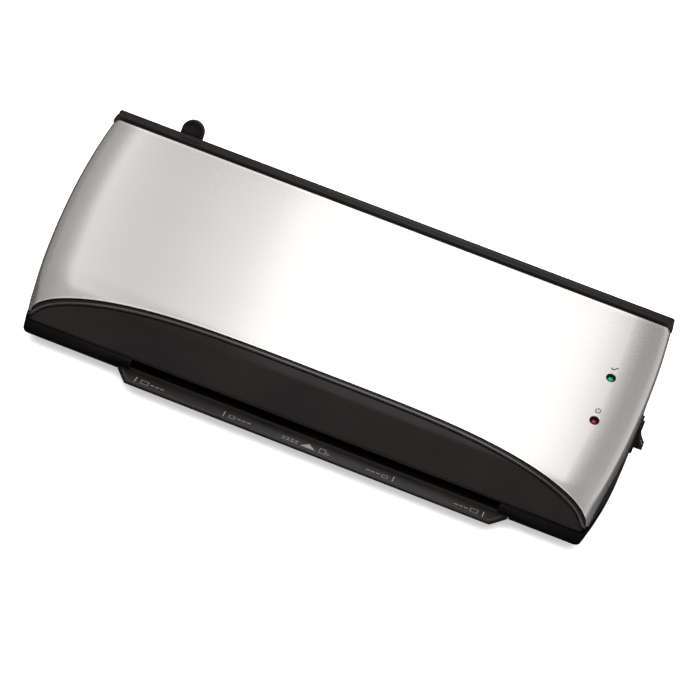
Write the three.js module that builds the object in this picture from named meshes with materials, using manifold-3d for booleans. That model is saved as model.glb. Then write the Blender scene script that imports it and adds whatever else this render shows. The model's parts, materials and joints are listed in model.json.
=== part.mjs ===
import * as THREE from 'three';
import { ConvexGeometry } from 'three/addons/geometries/ConvexGeometry.js';
import { mergeVertices } from 'three/addons/utils/BufferGeometryUtils.js';
import Module from 'manifold-3d';

// Pouch laminator, in millimetres: +X to the operator's right, +Y to the rear, +Z up.
// While it is built, x = 0 is the middle of the body, y = 0 its front and z = 0 the floor.

const wasm = await Module();
wasm.setup();

// Body
const HALF_WIDTH = 185.3;
const WAIST = 4.43;
const WAIST_REACH = 64;
const WIDEST_Y = 87.9;
const EDGE_ROUND = 4.5;
const ROUND_LEVELS = 4;
const WALL = 2.5;
const BASE_Z = 8;
const BASE_TOP_Z = 19.5;
const COVER_Z = 19.8;
const COVER_REAR_Y = 131;
const REAR_Y = 136.3;
const REAR_TOP_Z = 95.6;
const GAP = 0.3;

// Section of the body, front to rear: steep fascia, tight bend, long slope
const FASCIA_FOOT = new THREE.Vector2(1, 16);
const FASCIA_TOP = new THREE.Vector2(9.6, 33.2);
const BEND_CONTROL = new THREE.Vector2(14.7, 43.5);
const SLOPE_FOOT = new THREE.Vector2(26, 49.3);
const SLOPE_CONTROL = new THREE.Vector2(78, 76.4);
const SLOPE_TOP = new THREE.Vector2(129, 93.5);

// Arched cut-out of the cover
const ARCH_HALF = 177.3;
const ARCH_END_Z = 19.8;
const ARCH_TOP_Z = 45.4;
const ARCH_POWER = 3.78;
const ARCH_STEPS = 36;

// Pouch path
const FEED_X = 8.8;
const SLOT_HALF = 117;
const SLOT_FLOOR_Z = 10.6;
const SLOT_ROOF_Z = 16.6;
const PATH_Z = 13.6;
const PATH_TILT = THREE.MathUtils.degToRad(10);
const EXIT_Z = 37.6;
const EXIT_HALF_HEIGHT = 3.2;

// Entry tray
const TRAY_HALF = 124;
const TRAY_FRONT_HALF = 115.5;
const TRAY_FRONT_Y = -12.3;
const TRAY_THICKNESS = 2.4;

// Frame and rollers, along the path (s) and square to it (n)
const FRAME_INNER = 123.2;
const FRAME_THICKNESS = 1.6;
const ROLLER_S = 98;
const ROLLER_N = 9.5;
const SLEEVE_R = 9.35;
const SLEEVE_HALF = 118.5;
const SHAFT_R = 4;
const SHAFT_LEFT_X = -125.5;
const SHAFT_RIGHT_X = 136;
const BUSH_R = 6.5;
const SHOE_HALF = 116;

// Pressure arms and release
const ARM_PIVOT = { s: 70, n: 17 };
const ARM_IN = 120.7;
const ARM_OUT = 122.8;
const RELEASE = { s: 130, n: 18 };
const RELEASE_R = 3;
const CAM_R = 7.4;
const CAM_THROW = 3.2;
const SPRING_S = 110;
const SPRING_ROOM = 1.75;
const BRIDGE_N = 43;
const LEVER_X = -134.5;
const LEVER_WIDTH = 14.6;
const LEVER_THICKNESS = 3.6;
const LEVER_LENGTH = 52.3;
const LEVER_ANGLE = THREE.MathUtils.degToRad(69.8);

// Gear train on the left
const GEAR_X0 = -124;
const GEAR_X1 = -118;
const ROLLER_TEETH = 19;
const IDLER_TEETH = 16;
const PINION_TEETH = 12;
const IDLER_BEARING = THREE.MathUtils.degToRad(158);
const PINION_BEARING = THREE.MathUtils.degToRad(130);
const MOTOR_R = 18;

// Right-hand fittings
const LED_X = 159.5;
const LED_READY = { y: 80.6, z: 75.1 };
const LED_POWER = { y: 51.0, z: 61.8 };
const LED_HOLE_R = 3.0;
const SWITCH_Y = 96;
const SWITCH_Z = 34.5;
const SWITCH_BEZEL = { width: 15, height: 21, depth: 2.5 };
const ROCKER_TILT = THREE.MathUtils.degToRad(15);
const INLET_X = 150;
const INLET_Z = 30;
const BOSS_INSET = 0.88;

const machine = new THREE.Group();
const path = new THREE.Group();
path.rotation.x = PATH_TILT;
path.position.z = PATH_Z;
machine.add(path);

// ---------------------------------------------------------------- solids

function toSolid(geometry) {
  const bare = geometry.index ? geometry.toNonIndexed() : geometry.clone();
  bare.deleteAttribute('normal');
  bare.deleteAttribute('uv');
  const welded = mergeVertices(bare, 1e-4);
  return new wasm.Manifold(new wasm.Mesh({
    numProp: 3,
    vertProperties: new Float32Array(welded.attributes.position.array),
    triVerts: new Uint32Array(welded.index.array),
  }));
}

function toGeometry(solid) {
  const mesh = solid.getMesh();
  const geometry = new THREE.BufferGeometry();
  geometry.setAttribute('position', new THREE.BufferAttribute(new Float32Array(mesh.vertProperties), 3));
  geometry.setIndex(new THREE.BufferAttribute(new Uint32Array(mesh.triVerts), 1));
  geometry.computeVertexNormals();
  return geometry;
}

function shapeOf(points, holes = []) {
  const shape = new THREE.Shape(points.map(([a, b]) => new THREE.Vector2(a, b)));
  for (const hole of holes) {
    shape.holes.push(new THREE.Path(hole.map(([a, b]) => new THREE.Vector2(a, b))));
  }
  return shape;
}

function circle(a, b, radius, sides = 24) {
  const points = [];
  for (let i = 0; i < sides; i += 1) {
    const angle = (2 * Math.PI * (i + 0.5)) / sides;
    points.push([a + radius * Math.cos(angle), b + radius * Math.sin(angle)]);
  }
  return points;
}

// Slab with rounded corners, as outline points
function roundedRectangle(a0, b0, a1, b1, radius, steps = 4) {
  const points = [];
  const corners = [[a1 - radius, b0 + radius], [a1 - radius, b1 - radius],
    [a0 + radius, b1 - radius], [a0 + radius, b0 + radius]];
  corners.forEach(([a, b], corner) => {
    for (let i = 0; i <= steps; i += 1) {
      const angle = -Math.PI / 2 + (corner + i / steps) * (Math.PI / 2);
      points.push([a + radius * Math.cos(angle), b + radius * Math.sin(angle)]);
    }
  });
  return points;
}

// A (y, z) outline run along X
function prismX(points, x0, x1, holes = [], bevel = {}) {
  const geometry = new THREE.ExtrudeGeometry(shapeOf(points, holes), {
    depth: x1 - x0, bevelEnabled: false, ...bevel,
  });
  geometry.applyMatrix4(new THREE.Matrix4().makeBasis(
    new THREE.Vector3(0, 1, 0), new THREE.Vector3(0, 0, 1), new THREE.Vector3(1, 0, 0)));
  geometry.translate(x0, 0, 0);
  return geometry;
}

// An (x, z) outline run along Y
function prismY(points, y0, y1, holes = []) {
  const geometry = new THREE.ExtrudeGeometry(shapeOf(points, holes), {
    depth: y1 - y0, bevelEnabled: false,
  });
  geometry.rotateX(Math.PI / 2);
  geometry.translate(0, y1, 0);
  return geometry;
}

// An (x, y) outline run along Z
function prismZ(points, z0, z1, holes = []) {
  const geometry = new THREE.ExtrudeGeometry(shapeOf(points, holes), {
    depth: z1 - z0, bevelEnabled: false,
  });
  geometry.translate(0, 0, z0);
  return geometry;
}

function block(x0, y0, z0, x1, y1, z1) {
  const geometry = new THREE.BoxGeometry(x1 - x0, y1 - y0, z1 - z0);
  geometry.translate((x0 + x1) / 2, (y0 + y1) / 2, (z0 + z1) / 2);
  return geometry;
}

function rodX(x0, x1, radius, sides = 20) {
  return prismX(circle(0, 0, radius, sides), x0, x1);
}

function ringX(x0, x1, outer, inner, sides = 24) {
  return prismX(circle(0, 0, outer, sides), x0, x1, [circle(0, 0, inner, sides)]);
}

function union(geometries) {
  return geometries.map(toSolid).reduce((sum, next) => sum.add(next));
}

function less(solid, geometries) {
  return geometries.reduce((rest, cutter) => rest.subtract(toSolid(cutter)), solid);
}

// ---------------------------------------------------------------- materials

function material(color, roughness, metalness) {
  return new THREE.MeshStandardMaterial({ color, roughness, metalness });
}

const SILVER = material(0xbfbab4, 0.32, 0.85);
const BLACK_SATIN = material(0x1b191a, 0.42, 0.0);
const BLACK_GLOSS = material(0x131213, 0.18, 0.0);
const BLACK_RUBBER = material(0x161616, 0.85, 0.0);
const STEEL = material(0x9b9da0, 0.35, 0.9);
const ZINC = material(0x8f9296, 0.45, 0.85);
const ALUMINIUM = material(0xb4b7ba, 0.4, 0.9);
const SILICONE = material(0xa9523a, 0.7, 0.0);
const BRONZE = material(0x9a7a45, 0.45, 0.8);
const NYLON = material(0xe4e0d2, 0.55, 0.0);
const BOARD = material(0x2f6a3c, 0.5, 0.0);
const MICA = material(0xb99c62, 0.6, 0.0);
const RED_LENS = material(0x7a1414, 0.15, 0.0);
const GREEN_LENS = material(0x12964f, 0.15, 0.0);
const CERAMIC = material(0xd8d4c8, 0.6, 0.0);
const BLUE_CASE = material(0x27486e, 0.4, 0.0);

function part(name, solid, surface, parent = machine) {
  const geometry = solid.isBufferGeometry ? solid : toGeometry(solid);
  const mesh = new THREE.Mesh(geometry, surface.clone());
  mesh.name = name;
  parent.add(mesh);
  return mesh;
}

function place(mesh, x, y, z) {
  mesh.position.set(x, y, z);
  return mesh;
}

// ---------------------------------------------------------------- body shell

function halfWidth(y) {
  return HALF_WIDTH - WAIST * ((y - WIDEST_Y) / WAIST_REACH) ** 2;
}

// Front, top and rear line of the body, from the bottom of the front to the bottom of the rear
function bodyOutline() {
  const bend = new THREE.QuadraticBezierCurve(FASCIA_TOP, BEND_CONTROL, SLOPE_FOOT).getPoints(5);
  const slope = new THREE.QuadraticBezierCurve(SLOPE_FOOT, SLOPE_CONTROL, SLOPE_TOP).getPoints(9);
  const foot = [new THREE.Vector2(0, -30), new THREE.Vector2(0, BASE_Z + 4), FASCIA_FOOT];
  const rear = [new THREE.Vector2(REAR_Y, REAR_TOP_Z), new THREE.Vector2(REAR_Y, -30)];
  return [...foot, ...bend, ...slope.slice(1), ...rear];
}

// Inward direction at each point of the outline, as long as a parallel offset of 1 needs
function inwardSteps(outline) {
  const runs = outline.slice(1).map((point, i) => point.clone().sub(outline[i]).normalize());
  const up = new THREE.Vector2(0, 1);
  const down = new THREE.Vector2(0, -1);
  return outline.map((point, i) => {
    const before = runs[i - 1] ?? up;
    const after = runs[i] ?? down;
    const inward = new THREE.Vector2(before.y + after.y, -before.x - after.x);
    return inward.divideScalar(1 + before.dot(after));
  });
}

// The whole body as one convex block, set in from its outside by `inset`, its ends rounded and its
// plan widest near the middle
function bodyBlock(inset) {
  const outline = bodyOutline();
  const inward = inwardSteps(outline);
  const points = [];
  for (let level = 0; level <= ROUND_LEVELS; level += 1) {
    const angle = (Math.PI / 2) * (level / ROUND_LEVELS);
    const depth = EDGE_ROUND - (EDGE_ROUND - inset) * Math.cos(angle);
    const cut = EDGE_ROUND - (EDGE_ROUND - inset) * Math.sin(angle);
    outline.forEach((point, i) => {
      const y = point.x + inward[i].x * depth;
      const z = point.y + inward[i].y * depth;
      const x = halfWidth(y) - cut;
      points.push(new THREE.Vector3(x, y, z), new THREE.Vector3(-x, y, z));
    });
  }
  const floorSteps = 12;
  for (let i = 1; i < floorSteps; i += 1) {
    const y = EDGE_ROUND + ((REAR_Y - 2 * EDGE_ROUND) * i) / floorSteps;
    const x = halfWidth(y) - inset;
    points.push(new THREE.Vector3(x, y, -30), new THREE.Vector3(-x, y, -30));
  }
  return toSolid(new ConvexGeometry(points));
}

// The space under the arch of the cover, as a prism along Y
function archSpace(inset, z0, y1 = 32) {
  const half = ARCH_HALF - inset;
  const points = [];
  for (let i = 0; i <= ARCH_STEPS; i += 1) {
    const x = -half * Math.cos((Math.PI * i) / ARCH_STEPS);
    const rise = Math.sqrt(Math.max(0, 1 - Math.abs(x / half) ** ARCH_POWER));
    points.push([x, ARCH_END_Z - inset + (ARCH_TOP_Z - ARCH_END_Z) * rise]);
  }
  points.push([half, z0], [-half, z0]);
  return prismY(points.reverse(), -6, y1);
}

function slopeAngle() {
  return Math.atan2(LED_READY.z - LED_POWER.z, LED_READY.y - LED_POWER.y);
}

// A cylinder square to the cover at one of its lamps
function lampCylinder(lamp, radius, low, high, sides = 16) {
  const geometry = new THREE.CylinderGeometry(radius, radius, high - low, sides);
  geometry.rotateX(Math.PI / 2);
  geometry.translate(0, 0, (high + low) / 2);
  geometry.rotateX(slopeAngle());
  geometry.translate(LED_X, lamp.y, lamp.z);
  return geometry;
}

function topCover() {
  const shell = bodyBlock(0).subtract(bodyBlock(WALL));
  return less(shell, [
    block(-220, -20, -40, 220, 160, COVER_Z),
    block(-220, COVER_REAR_Y, -40, 220, 160, 120),
    archSpace(0, 0),
    lampCylinder(LED_READY, LED_HOLE_R, -8, 8),
    lampCylinder(LED_POWER, LED_HOLE_R, -8, 8),
    block(170, SWITCH_Y - 6.8, SWITCH_Z - 9.8, 200, SWITCH_Y + 6.8, SWITCH_Z + 9.8),
  ]);
}

function frontFascia() {
  const shell = bodyBlock(1).subtract(bodyBlock(3.2));
  return shell.intersect(toSolid(archSpace(GAP + 0.1, SLOT_ROOF_Z, 24)));
}

function baseHousing() {
  const outer = bodyBlock(0).intersect(toSolid(block(-220, -5, BASE_Z, 220, 160, BASE_TOP_Z)));
  const slotX0 = FEED_X - SLOT_HALF;
  const slotX1 = FEED_X + SLOT_HALF;
  const hollow = bodyBlock(WALL).intersect(toSolid(block(-220, -5, BASE_Z + 2.4, 220, 160, 40)));
  const bosses = [];
  for (const [x, y] of footPlaces()) {
    bosses.push(prismZ(circle(x * BOSS_INSET, y, 4.5, 16), BASE_Z + 1, BASE_TOP_Z));
  }
  const screwHoles = footPlaces().map(([x, y]) => prismZ(circle(x * BOSS_INSET, y, 1.7, 12), 0, 40));
  const screwSinks = footPlaces().map(([x, y]) =>
    prismZ(circle(x * BOSS_INSET, y, 3.4, 16), 0, BASE_Z + 2.2));
  return less(outer.subtract(hollow).add(union(bosses)), [
    archSpace(-GAP, 16.3),
    block(slotX0, -6, 10.3, slotX1, 6, 30),
    block(FEED_X - TRAY_HALF - GAP, -6, 0, FEED_X + TRAY_HALF + GAP, 2.9, SLOT_FLOOR_Z + 0.3),
    ...screwHoles,
    ...screwSinks,
    ...ventSlots().map((x) => block(x, 96, 0, x + 3, 120, 12)),
  ]);
}

function ventSlots() {
  return [-96, -88, -80, -72, 72, 80, 88, 96];
}

function footPlaces() {
  return [[-160, 22], [160, 22], [-164, 116], [164, 116]];
}

// A thin lip with slanted ends and a rounded front edge
function entryTray() {
  const bottom = SLOT_FLOOR_Z - TRAY_THICKNESS;
  const plan = [[-TRAY_HALF, 2.6], [-TRAY_HALF, 0.5], [-TRAY_FRONT_HALF - 0.9, TRAY_FRONT_Y + 0.9],
    [-TRAY_FRONT_HALF + 0.6, TRAY_FRONT_Y], [TRAY_FRONT_HALF - 0.6, TRAY_FRONT_Y],
    [TRAY_FRONT_HALF + 0.9, TRAY_FRONT_Y + 0.9], [TRAY_HALF, 0.5], [TRAY_HALF, 2.6]];
  const edge = [[TRAY_FRONT_Y + 0.7, bottom], [4, bottom], [4, SLOT_FLOOR_Z],
    [TRAY_FRONT_Y + 0.9, SLOT_FLOOR_Z],
    [TRAY_FRONT_Y + 0.25, SLOT_FLOOR_Z - 0.5], [TRAY_FRONT_Y, SLOT_FLOOR_Z - 1.2],
      [TRAY_FRONT_Y + 0.2, bottom + 0.4]];
  const slab = toSolid(prismZ(plan, bottom - 1, SLOT_FLOOR_Z + 1))
    .intersect(toSolid(prismX(edge, -140, 140)));
  return slab.translate([FEED_X, 0, 0]);
}

function rearCover() {
  const shell = bodyBlock(0).subtract(bodyBlock(WALL));
  const panel = shell.intersect(toSolid(block(-220, COVER_REAR_Y + GAP, COVER_Z, 220, 160, 91.5)));
  const lip = prismX([[REAR_Y - 1, 86], [138.6, 88], [138.6, 93.6], [137.9, 94.4], [137.6, 94.4],
    [137.6, 88.6], [REAR_Y - 1, 88.6]], -145, 167);
  const exitFloor = EXIT_Z - EXIT_HALF_HEIGHT;
  const exitRoof = EXIT_Z + EXIT_HALF_HEIGHT;
  const hood = prismX([[REAR_Y - 1, exitRoof], [139, exitRoof],
    [139, exitRoof + 1.2], [REAR_Y - 1, exitRoof + 4]],
    FEED_X - SLOT_HALF - 3, FEED_X + SLOT_HALF + 3);
  const vents = [];
  for (let i = 0; i < 14; i += 1) {
    vents.push(block(-78 + i * 12, 120, 56, -73 + i * 12, 150, 76));
  }
  return less(panel.add(union([lip, hood])), [
    block(FEED_X - SLOT_HALF, 120, exitFloor, FEED_X + SLOT_HALF, 150, exitRoof),
    block(LEVER_X - 8.7, 120, 56, LEVER_X + 8.7, 150, 100),
    prismY(circle(INLET_X, INLET_Z, 6.3), 120, 150),
    ...vents,
  ]);
}

// Ridge along the top rear edge, following the plan of the body
function rearTrim() {
  const strip = [[COVER_REAR_Y + GAP, 91.8], [134.6, 91.8], [134.6, 90.2], [137.3, 90.2],
    [137.3, 94.3], [136.3, 95.6],
    [134.4, 96.1], [132.6, 95.7], [131.9, 95.0], [COVER_REAR_Y + GAP, 94.3]];
  const geometry = prismX(strip, -HALF_WIDTH + 2.4, HALF_WIDTH - 2.4, [], {
    bevelEnabled: true, bevelSize: 1.1, bevelThickness: 1.8, bevelOffset: -1.1, bevelSegments: 2,
  });
  const position = geometry.attributes.position;
  for (let i = 0; i < position.count; i += 1) {
    position.setX(i, position.getX(i) * (halfWidth(position.getY(i)) / HALF_WIDTH));
  }
  const skin = bodyBlock(WALL + GAP).intersect(toSolid(block(-220, 120, 60, 220, REAR_Y - 0.2, 91.8)));
  return less(toSolid(geometry).subtract(skin), [
    block(-220, REAR_Y - 3, 80, 220, REAR_Y + GAP, 91.8),
    block(LEVER_X - 8.7, 134.6, 80, LEVER_X + 8.7, 150, 100),
    block(-145 - GAP, 137.3, 80, 167 + GAP, 150, 100),
  ]);
}

function foot(x, y) {
  const radius = 7.5;
  const outline = [[0, 0], [radius - 0.8, 0], [radius, 0.8], [radius - 0.6, BASE_Z - GAP], [0, BASE_Z - GAP]];
  const geometry = new THREE.LatheGeometry(outline.map(([r, z]) => new THREE.Vector2(r, z)), 24);
  geometry.rotateX(Math.PI / 2);
  geometry.translate(x, y, 0);
  return toSolid(geometry);
}

// Pan-head screw standing in a boss, head down
function screw(x, y) {
  const outline = [[0, 8.5], [1.2, 8.5], [2.9, 9.1], [2.9, 9.9], [1.4, 9.9], [1.4, 18.5], [0, 18.5]];
  const geometry = new THREE.LatheGeometry(outline.map(([r, z]) => new THREE.Vector2(r, z)), 12);
  geometry.rotateX(Math.PI / 2);
  geometry.translate(x, y, 0);
  return toSolid(geometry);
}

// ---------------------------------------------------------------- frame and heating

function framePlate(side) {
  const inner = FEED_X + side * FRAME_INNER;
  const outer = inner + side * FRAME_THICKNESS;
  const outline = [[14, -4.8], [130, -25.4], [137, 27], [122, 46.5], [104, 46.5], [56, 28], [14, 12]];
  const holes = [
    circle(ROLLER_S, -ROLLER_N, BUSH_R + GAP),
    circle(ROLLER_S, ROLLER_N, SHAFT_R + 1.2),
    circle(ARM_PIVOT.s, ARM_PIVOT.n, 2.8, 16),
    circle(RELEASE.s, RELEASE.n, RELEASE_R + GAP, 20),
  ];
  return toSolid(prismX(outline, Math.min(inner, outer), Math.max(inner, outer), holes));
}

function crossBar(s, n) {
  const x0 = FEED_X - FRAME_INNER + GAP;
  const x1 = FEED_X + FRAME_INNER - GAP;
  return toSolid(prismX([[s - 5, n], [s + 5, n], [s + 5, n + 1.5], [s - 3.5, n + 1.5], [s - 3.5, n + 3.2],
    [s - 5, n + 3.2]], x0, x1));
}

// Heated plate with a flared mouth; side +1 above the pouch, -1 below it
function heaterShoe(side) {
  const half = [[18, 3.8], [23, 2.2], [82, 2.2], [82, 4.4], [23.6, 4.4], [18.9, 5.6]];
  const outline = half.map(([s, n]) => [s, side * n]);
  return toSolid(prismX(side > 0 ? outline : outline.reverse(), FEED_X - SHOE_HALF, FEED_X + SHOE_HALF));
}

function heaterElement(side) {
  const near = side * 4.7;
  const far = side * 6.3;
  return toSolid(block(FEED_X - 105, 32, Math.min(near, far), FEED_X + 105, 72, Math.max(near, far)));
}

function exitGuide() {
  const outline = [[109, -5.5], [131, -3.4], [131, -2.2], [111, -2.6]];
  return toSolid(prismX(outline, FEED_X - SHOE_HALF, FEED_X + SHOE_HALF));
}

// ---------------------------------------------------------------- rollers and gears

function sleeve() {
  return toSolid(ringX(FEED_X - SLEEVE_HALF, FEED_X + SLEEVE_HALF, SLEEVE_R, SHAFT_R + 0.05, 32));
}

function shaft() {
  return toSolid(rodX(SHAFT_LEFT_X, SHAFT_RIGHT_X, SHAFT_R - 0.05, 20));
}

function gearOutline(teeth, phase) {
  const pitchR = teeth / 2;
  const step = (2 * Math.PI) / teeth;
  const flank = [[-0.30, -1.1], [-0.205, 0.0], [-0.115, 0.8], [0.115, 0.8], [0.205, 0.0], [0.30, -1.1]];
  const points = [];
  for (let i = 0; i < teeth; i += 1) {
    for (const [along, rise] of flank) {
      const angle = phase + (i + along) * step;
      points.push([(pitchR + rise) * Math.cos(angle), (pitchR + rise) * Math.sin(angle)]);
    }
  }
  return points;
}

function gear(teeth, phase, boreR) {
  return toSolid(prismX(gearOutline(teeth, phase), GEAR_X0, GEAR_X1, [circle(0, 0, boreR, 20)]));
}

// Turns a gear so that it meshes with another lying at `bearing` from it
function meshPhase(bearing, phase, teeth, nextTeeth) {
  const step = (2 * Math.PI) / teeth;
  const nextStep = (2 * Math.PI) / nextTeeth;
  const along = (bearing - phase) / step;
  return bearing + Math.PI - (0.5 - (along - Math.floor(along))) * nextStep;
}

function bush() {
  return ringX(-1.9, 1.9, BUSH_R - 0.2, SHAFT_R + 0.1, 24);
}

// ---------------------------------------------------------------- pressure arms and release

function pressureArm(side) {
  const x0 = FEED_X + (side > 0 ? ARM_IN : -ARM_OUT);
  const x1 = FEED_X + (side > 0 ? ARM_OUT : -ARM_IN);
  const tail = RELEASE.n + CAM_R + 0.2;
  const outline = [[ARM_PIVOT.s - 5, ARM_PIVOT.n - 4], [ARM_PIVOT.s + 1, ARM_PIVOT.n - 6], [ROLLER_S - 8, 4],
    [ROLLER_S - 4, 0.9], [ROLLER_S + 4, 0.9], [ROLLER_S + 9, 6], [ROLLER_S + 18, tail], [RELEASE.s + 6, tail],
    [RELEASE.s + 6, tail + 4], [ROLLER_S + 6, tail + 4], [ROLLER_S - 8, 20], [ARM_PIVOT.s, ARM_PIVOT.n + 6],
    [ARM_PIVOT.s - 5, ARM_PIVOT.n + 4]];
  const plate = prismX(outline, x0, x1, [
    circle(ROLLER_S, ROLLER_N, BUSH_R + 0.1),
    circle(ARM_PIVOT.s, ARM_PIVOT.n, 2.7, 16),
  ]);
  const seatX0 = side > 0 ? x0 - 8 : x0;
  const seat = block(seatX0, ROLLER_S + 7, tail + 4 - 1.6, seatX0 + 8 + (x1 - x0), ROLLER_S + 17, tail + 4);
  return toSolid(plate).add(toSolid(seat));
}

function armPin(side) {
  const from = FEED_X + side * (ARM_IN - 1.6);
  const to = FEED_X + side * (FRAME_INNER + FRAME_THICKNESS + 1.2);
  return toSolid(rodX(Math.min(from, to), Math.max(from, to), 2.4, 16));
}

function cam() {
  return prismX(circle(-CAM_THROW, 0, CAM_R, 32), -2.5, 2.5, [circle(0, 0, RELEASE_R + 0.05, 20)]);
}

// Hub on the release shaft, a flat blade and a rounded finger tab at its end
function releaseLever() {
  const half = LEVER_WIDTH / 2;
  const blade = [[-half, 0], [half, 0]];
  for (let i = 0; i <= 12; i += 1) {
    const angle = (Math.PI * i) / 12;
    blade.push([half * Math.cos(angle), LEVER_LENGTH - half + half * Math.sin(angle)]);
  }
  const plate = prismZ(blade, -LEVER_THICKNESS / 2, LEVER_THICKNESS / 2);
  const hub = rodX(-half, half, RELEASE_R + 3, 24);
  const solid = less(union([plate, hub]), [rodX(-20, 20, RELEASE_R + 0.05, 20)]);
  return solid.rotate([THREE.MathUtils.radToDeg(LEVER_ANGLE), 0, 0]).translate([LEVER_X, 0, 0]);
}

// Round-wire compression spring, standing along Z
function spring(length, radius, wire, turns) {
  const points = [];
  const count = turns * 10;
  for (let i = 0; i <= count; i += 1) {
    const angle = (2 * Math.PI * i) / 10;
    points.push(new THREE.Vector3(radius * Math.cos(angle), radius * Math.sin(angle),
      wire + ((length - 2 * wire) * i) / count));
  }
  const curve = new THREE.CatmullRomCurve3(points);
  const section = new THREE.Shape(circle(0, 0, wire, 6).map(([a, b]) => new THREE.Vector2(a, b)));
  return toSolid(new THREE.ExtrudeGeometry(section, { steps: count, extrudePath: curve }));
}

// ---------------------------------------------------------------- drive

function motorBody() {
  const can = rodX(-149, -128.4, MOTOR_R, 32);
  const boss = rodX(-128.5, -126.6, 7, 20);
  const ears = earPlaces().map(([s, n]) => prismX(circle(s, n, 4.4, 16), -128.4, -126.9));
  const webs = earPlaces().map(([s, n]) =>
    prismX([[-n * 0.22, s * 0.22], [n * 0.22, -s * 0.22], [s + n * 0.15, n - s * 0.15],
    [s - n * 0.15, n + s * 0.15]], -128.4, -126.9));
  const holes = earPlaces().map(([s, n]) => prismX(circle(s, n, 1.8, 12), -140, -120));
  return less(union([can, boss, ...ears, ...webs]), [rodX(-160, -120, 2.6, 16), ...holes]);
}

function earPlaces() {
  return [[-3.5, 19.7], [-20.6, -7.5]];
}

function motorPinion(phase) {
  const axle = rodX(-145, GEAR_X1, 2.3, 16);
  return toSolid(prismX(gearOutline(PINION_TEETH, phase), GEAR_X0, GEAR_X1)).add(toSolid(axle));
}

// ---------------------------------------------------------------- electrics

function lamp(at) {
  const profile = [[0, -7.4], [2.9, -7.4], [2.9, -6.4], [2.45, -6.4], [2.45, -2.4],
    [1.9, -1.1], [1.0, -0.5], [0, -0.35]];
  const geometry = new THREE.LatheGeometry(profile.map(([r, z]) => new THREE.Vector2(r, z)), 16);
  geometry.rotateX(Math.PI / 2);
  geometry.rotateX(slopeAngle());
  geometry.translate(LED_X, at.y, at.z);
  return toSolid(geometry);
}

function lampBoard() {
  const run = Math.hypot(LED_READY.y - LED_POWER.y, LED_READY.z - LED_POWER.z);
  const geometry = block(-8, -run / 2 - 8, -9.3, 8, run / 2 + 8, -7.7);
  geometry.rotateX(slopeAngle());
  geometry.translate(LED_X, (LED_READY.y + LED_POWER.y) / 2, (LED_READY.z + LED_POWER.z) / 2);
  return toSolid(geometry);
}

// Bezel outside the wall and the body of the switch behind it
function switchBody() {
  const wall = halfWidth(SWITCH_Y);
  const { width, height, depth } = SWITCH_BEZEL;
  const rim = roundedRectangle(SWITCH_Y - width / 2, SWITCH_Z - height / 2, SWITCH_Y + width / 2,
    SWITCH_Z + height / 2, 1.5, 2);
  const bezel = prismX(rim, wall + 0.25, wall + depth);
  const can = block(wall - 17, SWITCH_Y - 6.4, SWITCH_Z - 9.4, wall + 1, SWITCH_Y + 6.4, SWITCH_Z + 9.4);
  const well = block(wall - 8, SWITCH_Y - 5.4, SWITCH_Z - 8.9, wall + 10, SWITCH_Y + 5.4, SWITCH_Z + 8.9);
  const tabs = [-6, 0, 6].map((dz) =>
    block(wall - 23, SWITCH_Y - 2.4, SWITCH_Z + dz - 0.4, wall - 16.5, SWITCH_Y + 2.4,
    SWITCH_Z + dz + 0.4));
  return less(union([bezel, can, ...tabs]), [well]);
}

// Rocker seen from its pivot: two faces meeting over the pivot, skirt below
function rocker() {
  const half = 7.9;
  const outline = [[-half, 3.6], [0, 1.4], [half, 3.6],
    [half - 1.2, -1.6], [4, -4.6], [-4, -4.6], [-half + 1.2, -1.6]];
  const shape = outline.map(([along, out]) => [out, along]);
  const geometry = prismY(shape.reverse(), -5, 5);
  geometry.rotateY(-ROCKER_TILT);
  return toSolid(geometry);
}

function cordInlet() {
  const outline = [[3.4, 129.5], [5.9, 129.5], [5.9, REAR_Y + 0.3],
    [8.2, REAR_Y + 0.3], [7.4, 138.4], [3.4, 138.4]];
  const geometry = new THREE.LatheGeometry(
    [...outline, outline[0]].map(([r, y]) => new THREE.Vector2(r, y)), 24);
  geometry.translate(INLET_X, 0, INLET_Z);
  return toSolid(geometry);
}

// ---------------------------------------------------------------- assembly

part('base_housing', baseHousing(), BLACK_SATIN);
part('top_cover', topCover(), SILVER);
part('front_fascia', frontFascia(), BLACK_GLOSS);
part('rear_cover', rearCover(), BLACK_SATIN);
part('rear_trim', rearTrim(), BLACK_SATIN);
part('entry_tray', entryTray(), BLACK_SATIN);
part('cord_inlet', cordInlet(), BLACK_RUBBER);

footPlaces().forEach(([x, y], i) => {
  part(`foot_${i + 1}`, foot(x, y), BLACK_RUBBER);
  part(`base_screw_${i + 1}`, screw(x * BOSS_INSET, y), STEEL);
});

for (const [side, label] of [[-1, 'left'], [1, 'right']]) {
  part(`frame_plate_${label}`, framePlate(side), ZINC, path);
  part(`pressure_arm_${label}`, pressureArm(side), ZINC, path);
  place(part(`arm_pin_${label}`, armPin(side), STEEL, path), 0, ARM_PIVOT.s, ARM_PIVOT.n);
  const lowerBushX = FEED_X + side * (FRAME_INNER + 0.9);
  const upperBushX = FEED_X + side * 121.1;
  place(part(`lower_bush_${label}`, toSolid(bush()), BRONZE, path), lowerBushX, ROLLER_S, -ROLLER_N);
  place(part(`upper_bush_${label}`, toSolid(bush()), BRONZE, path), upperBushX, ROLLER_S, ROLLER_N);
  place(part(`release_cam_${label}`, toSolid(cam()), NYLON, path),
    FEED_X + side * 120.2, RELEASE.s, RELEASE.n);
}

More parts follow.
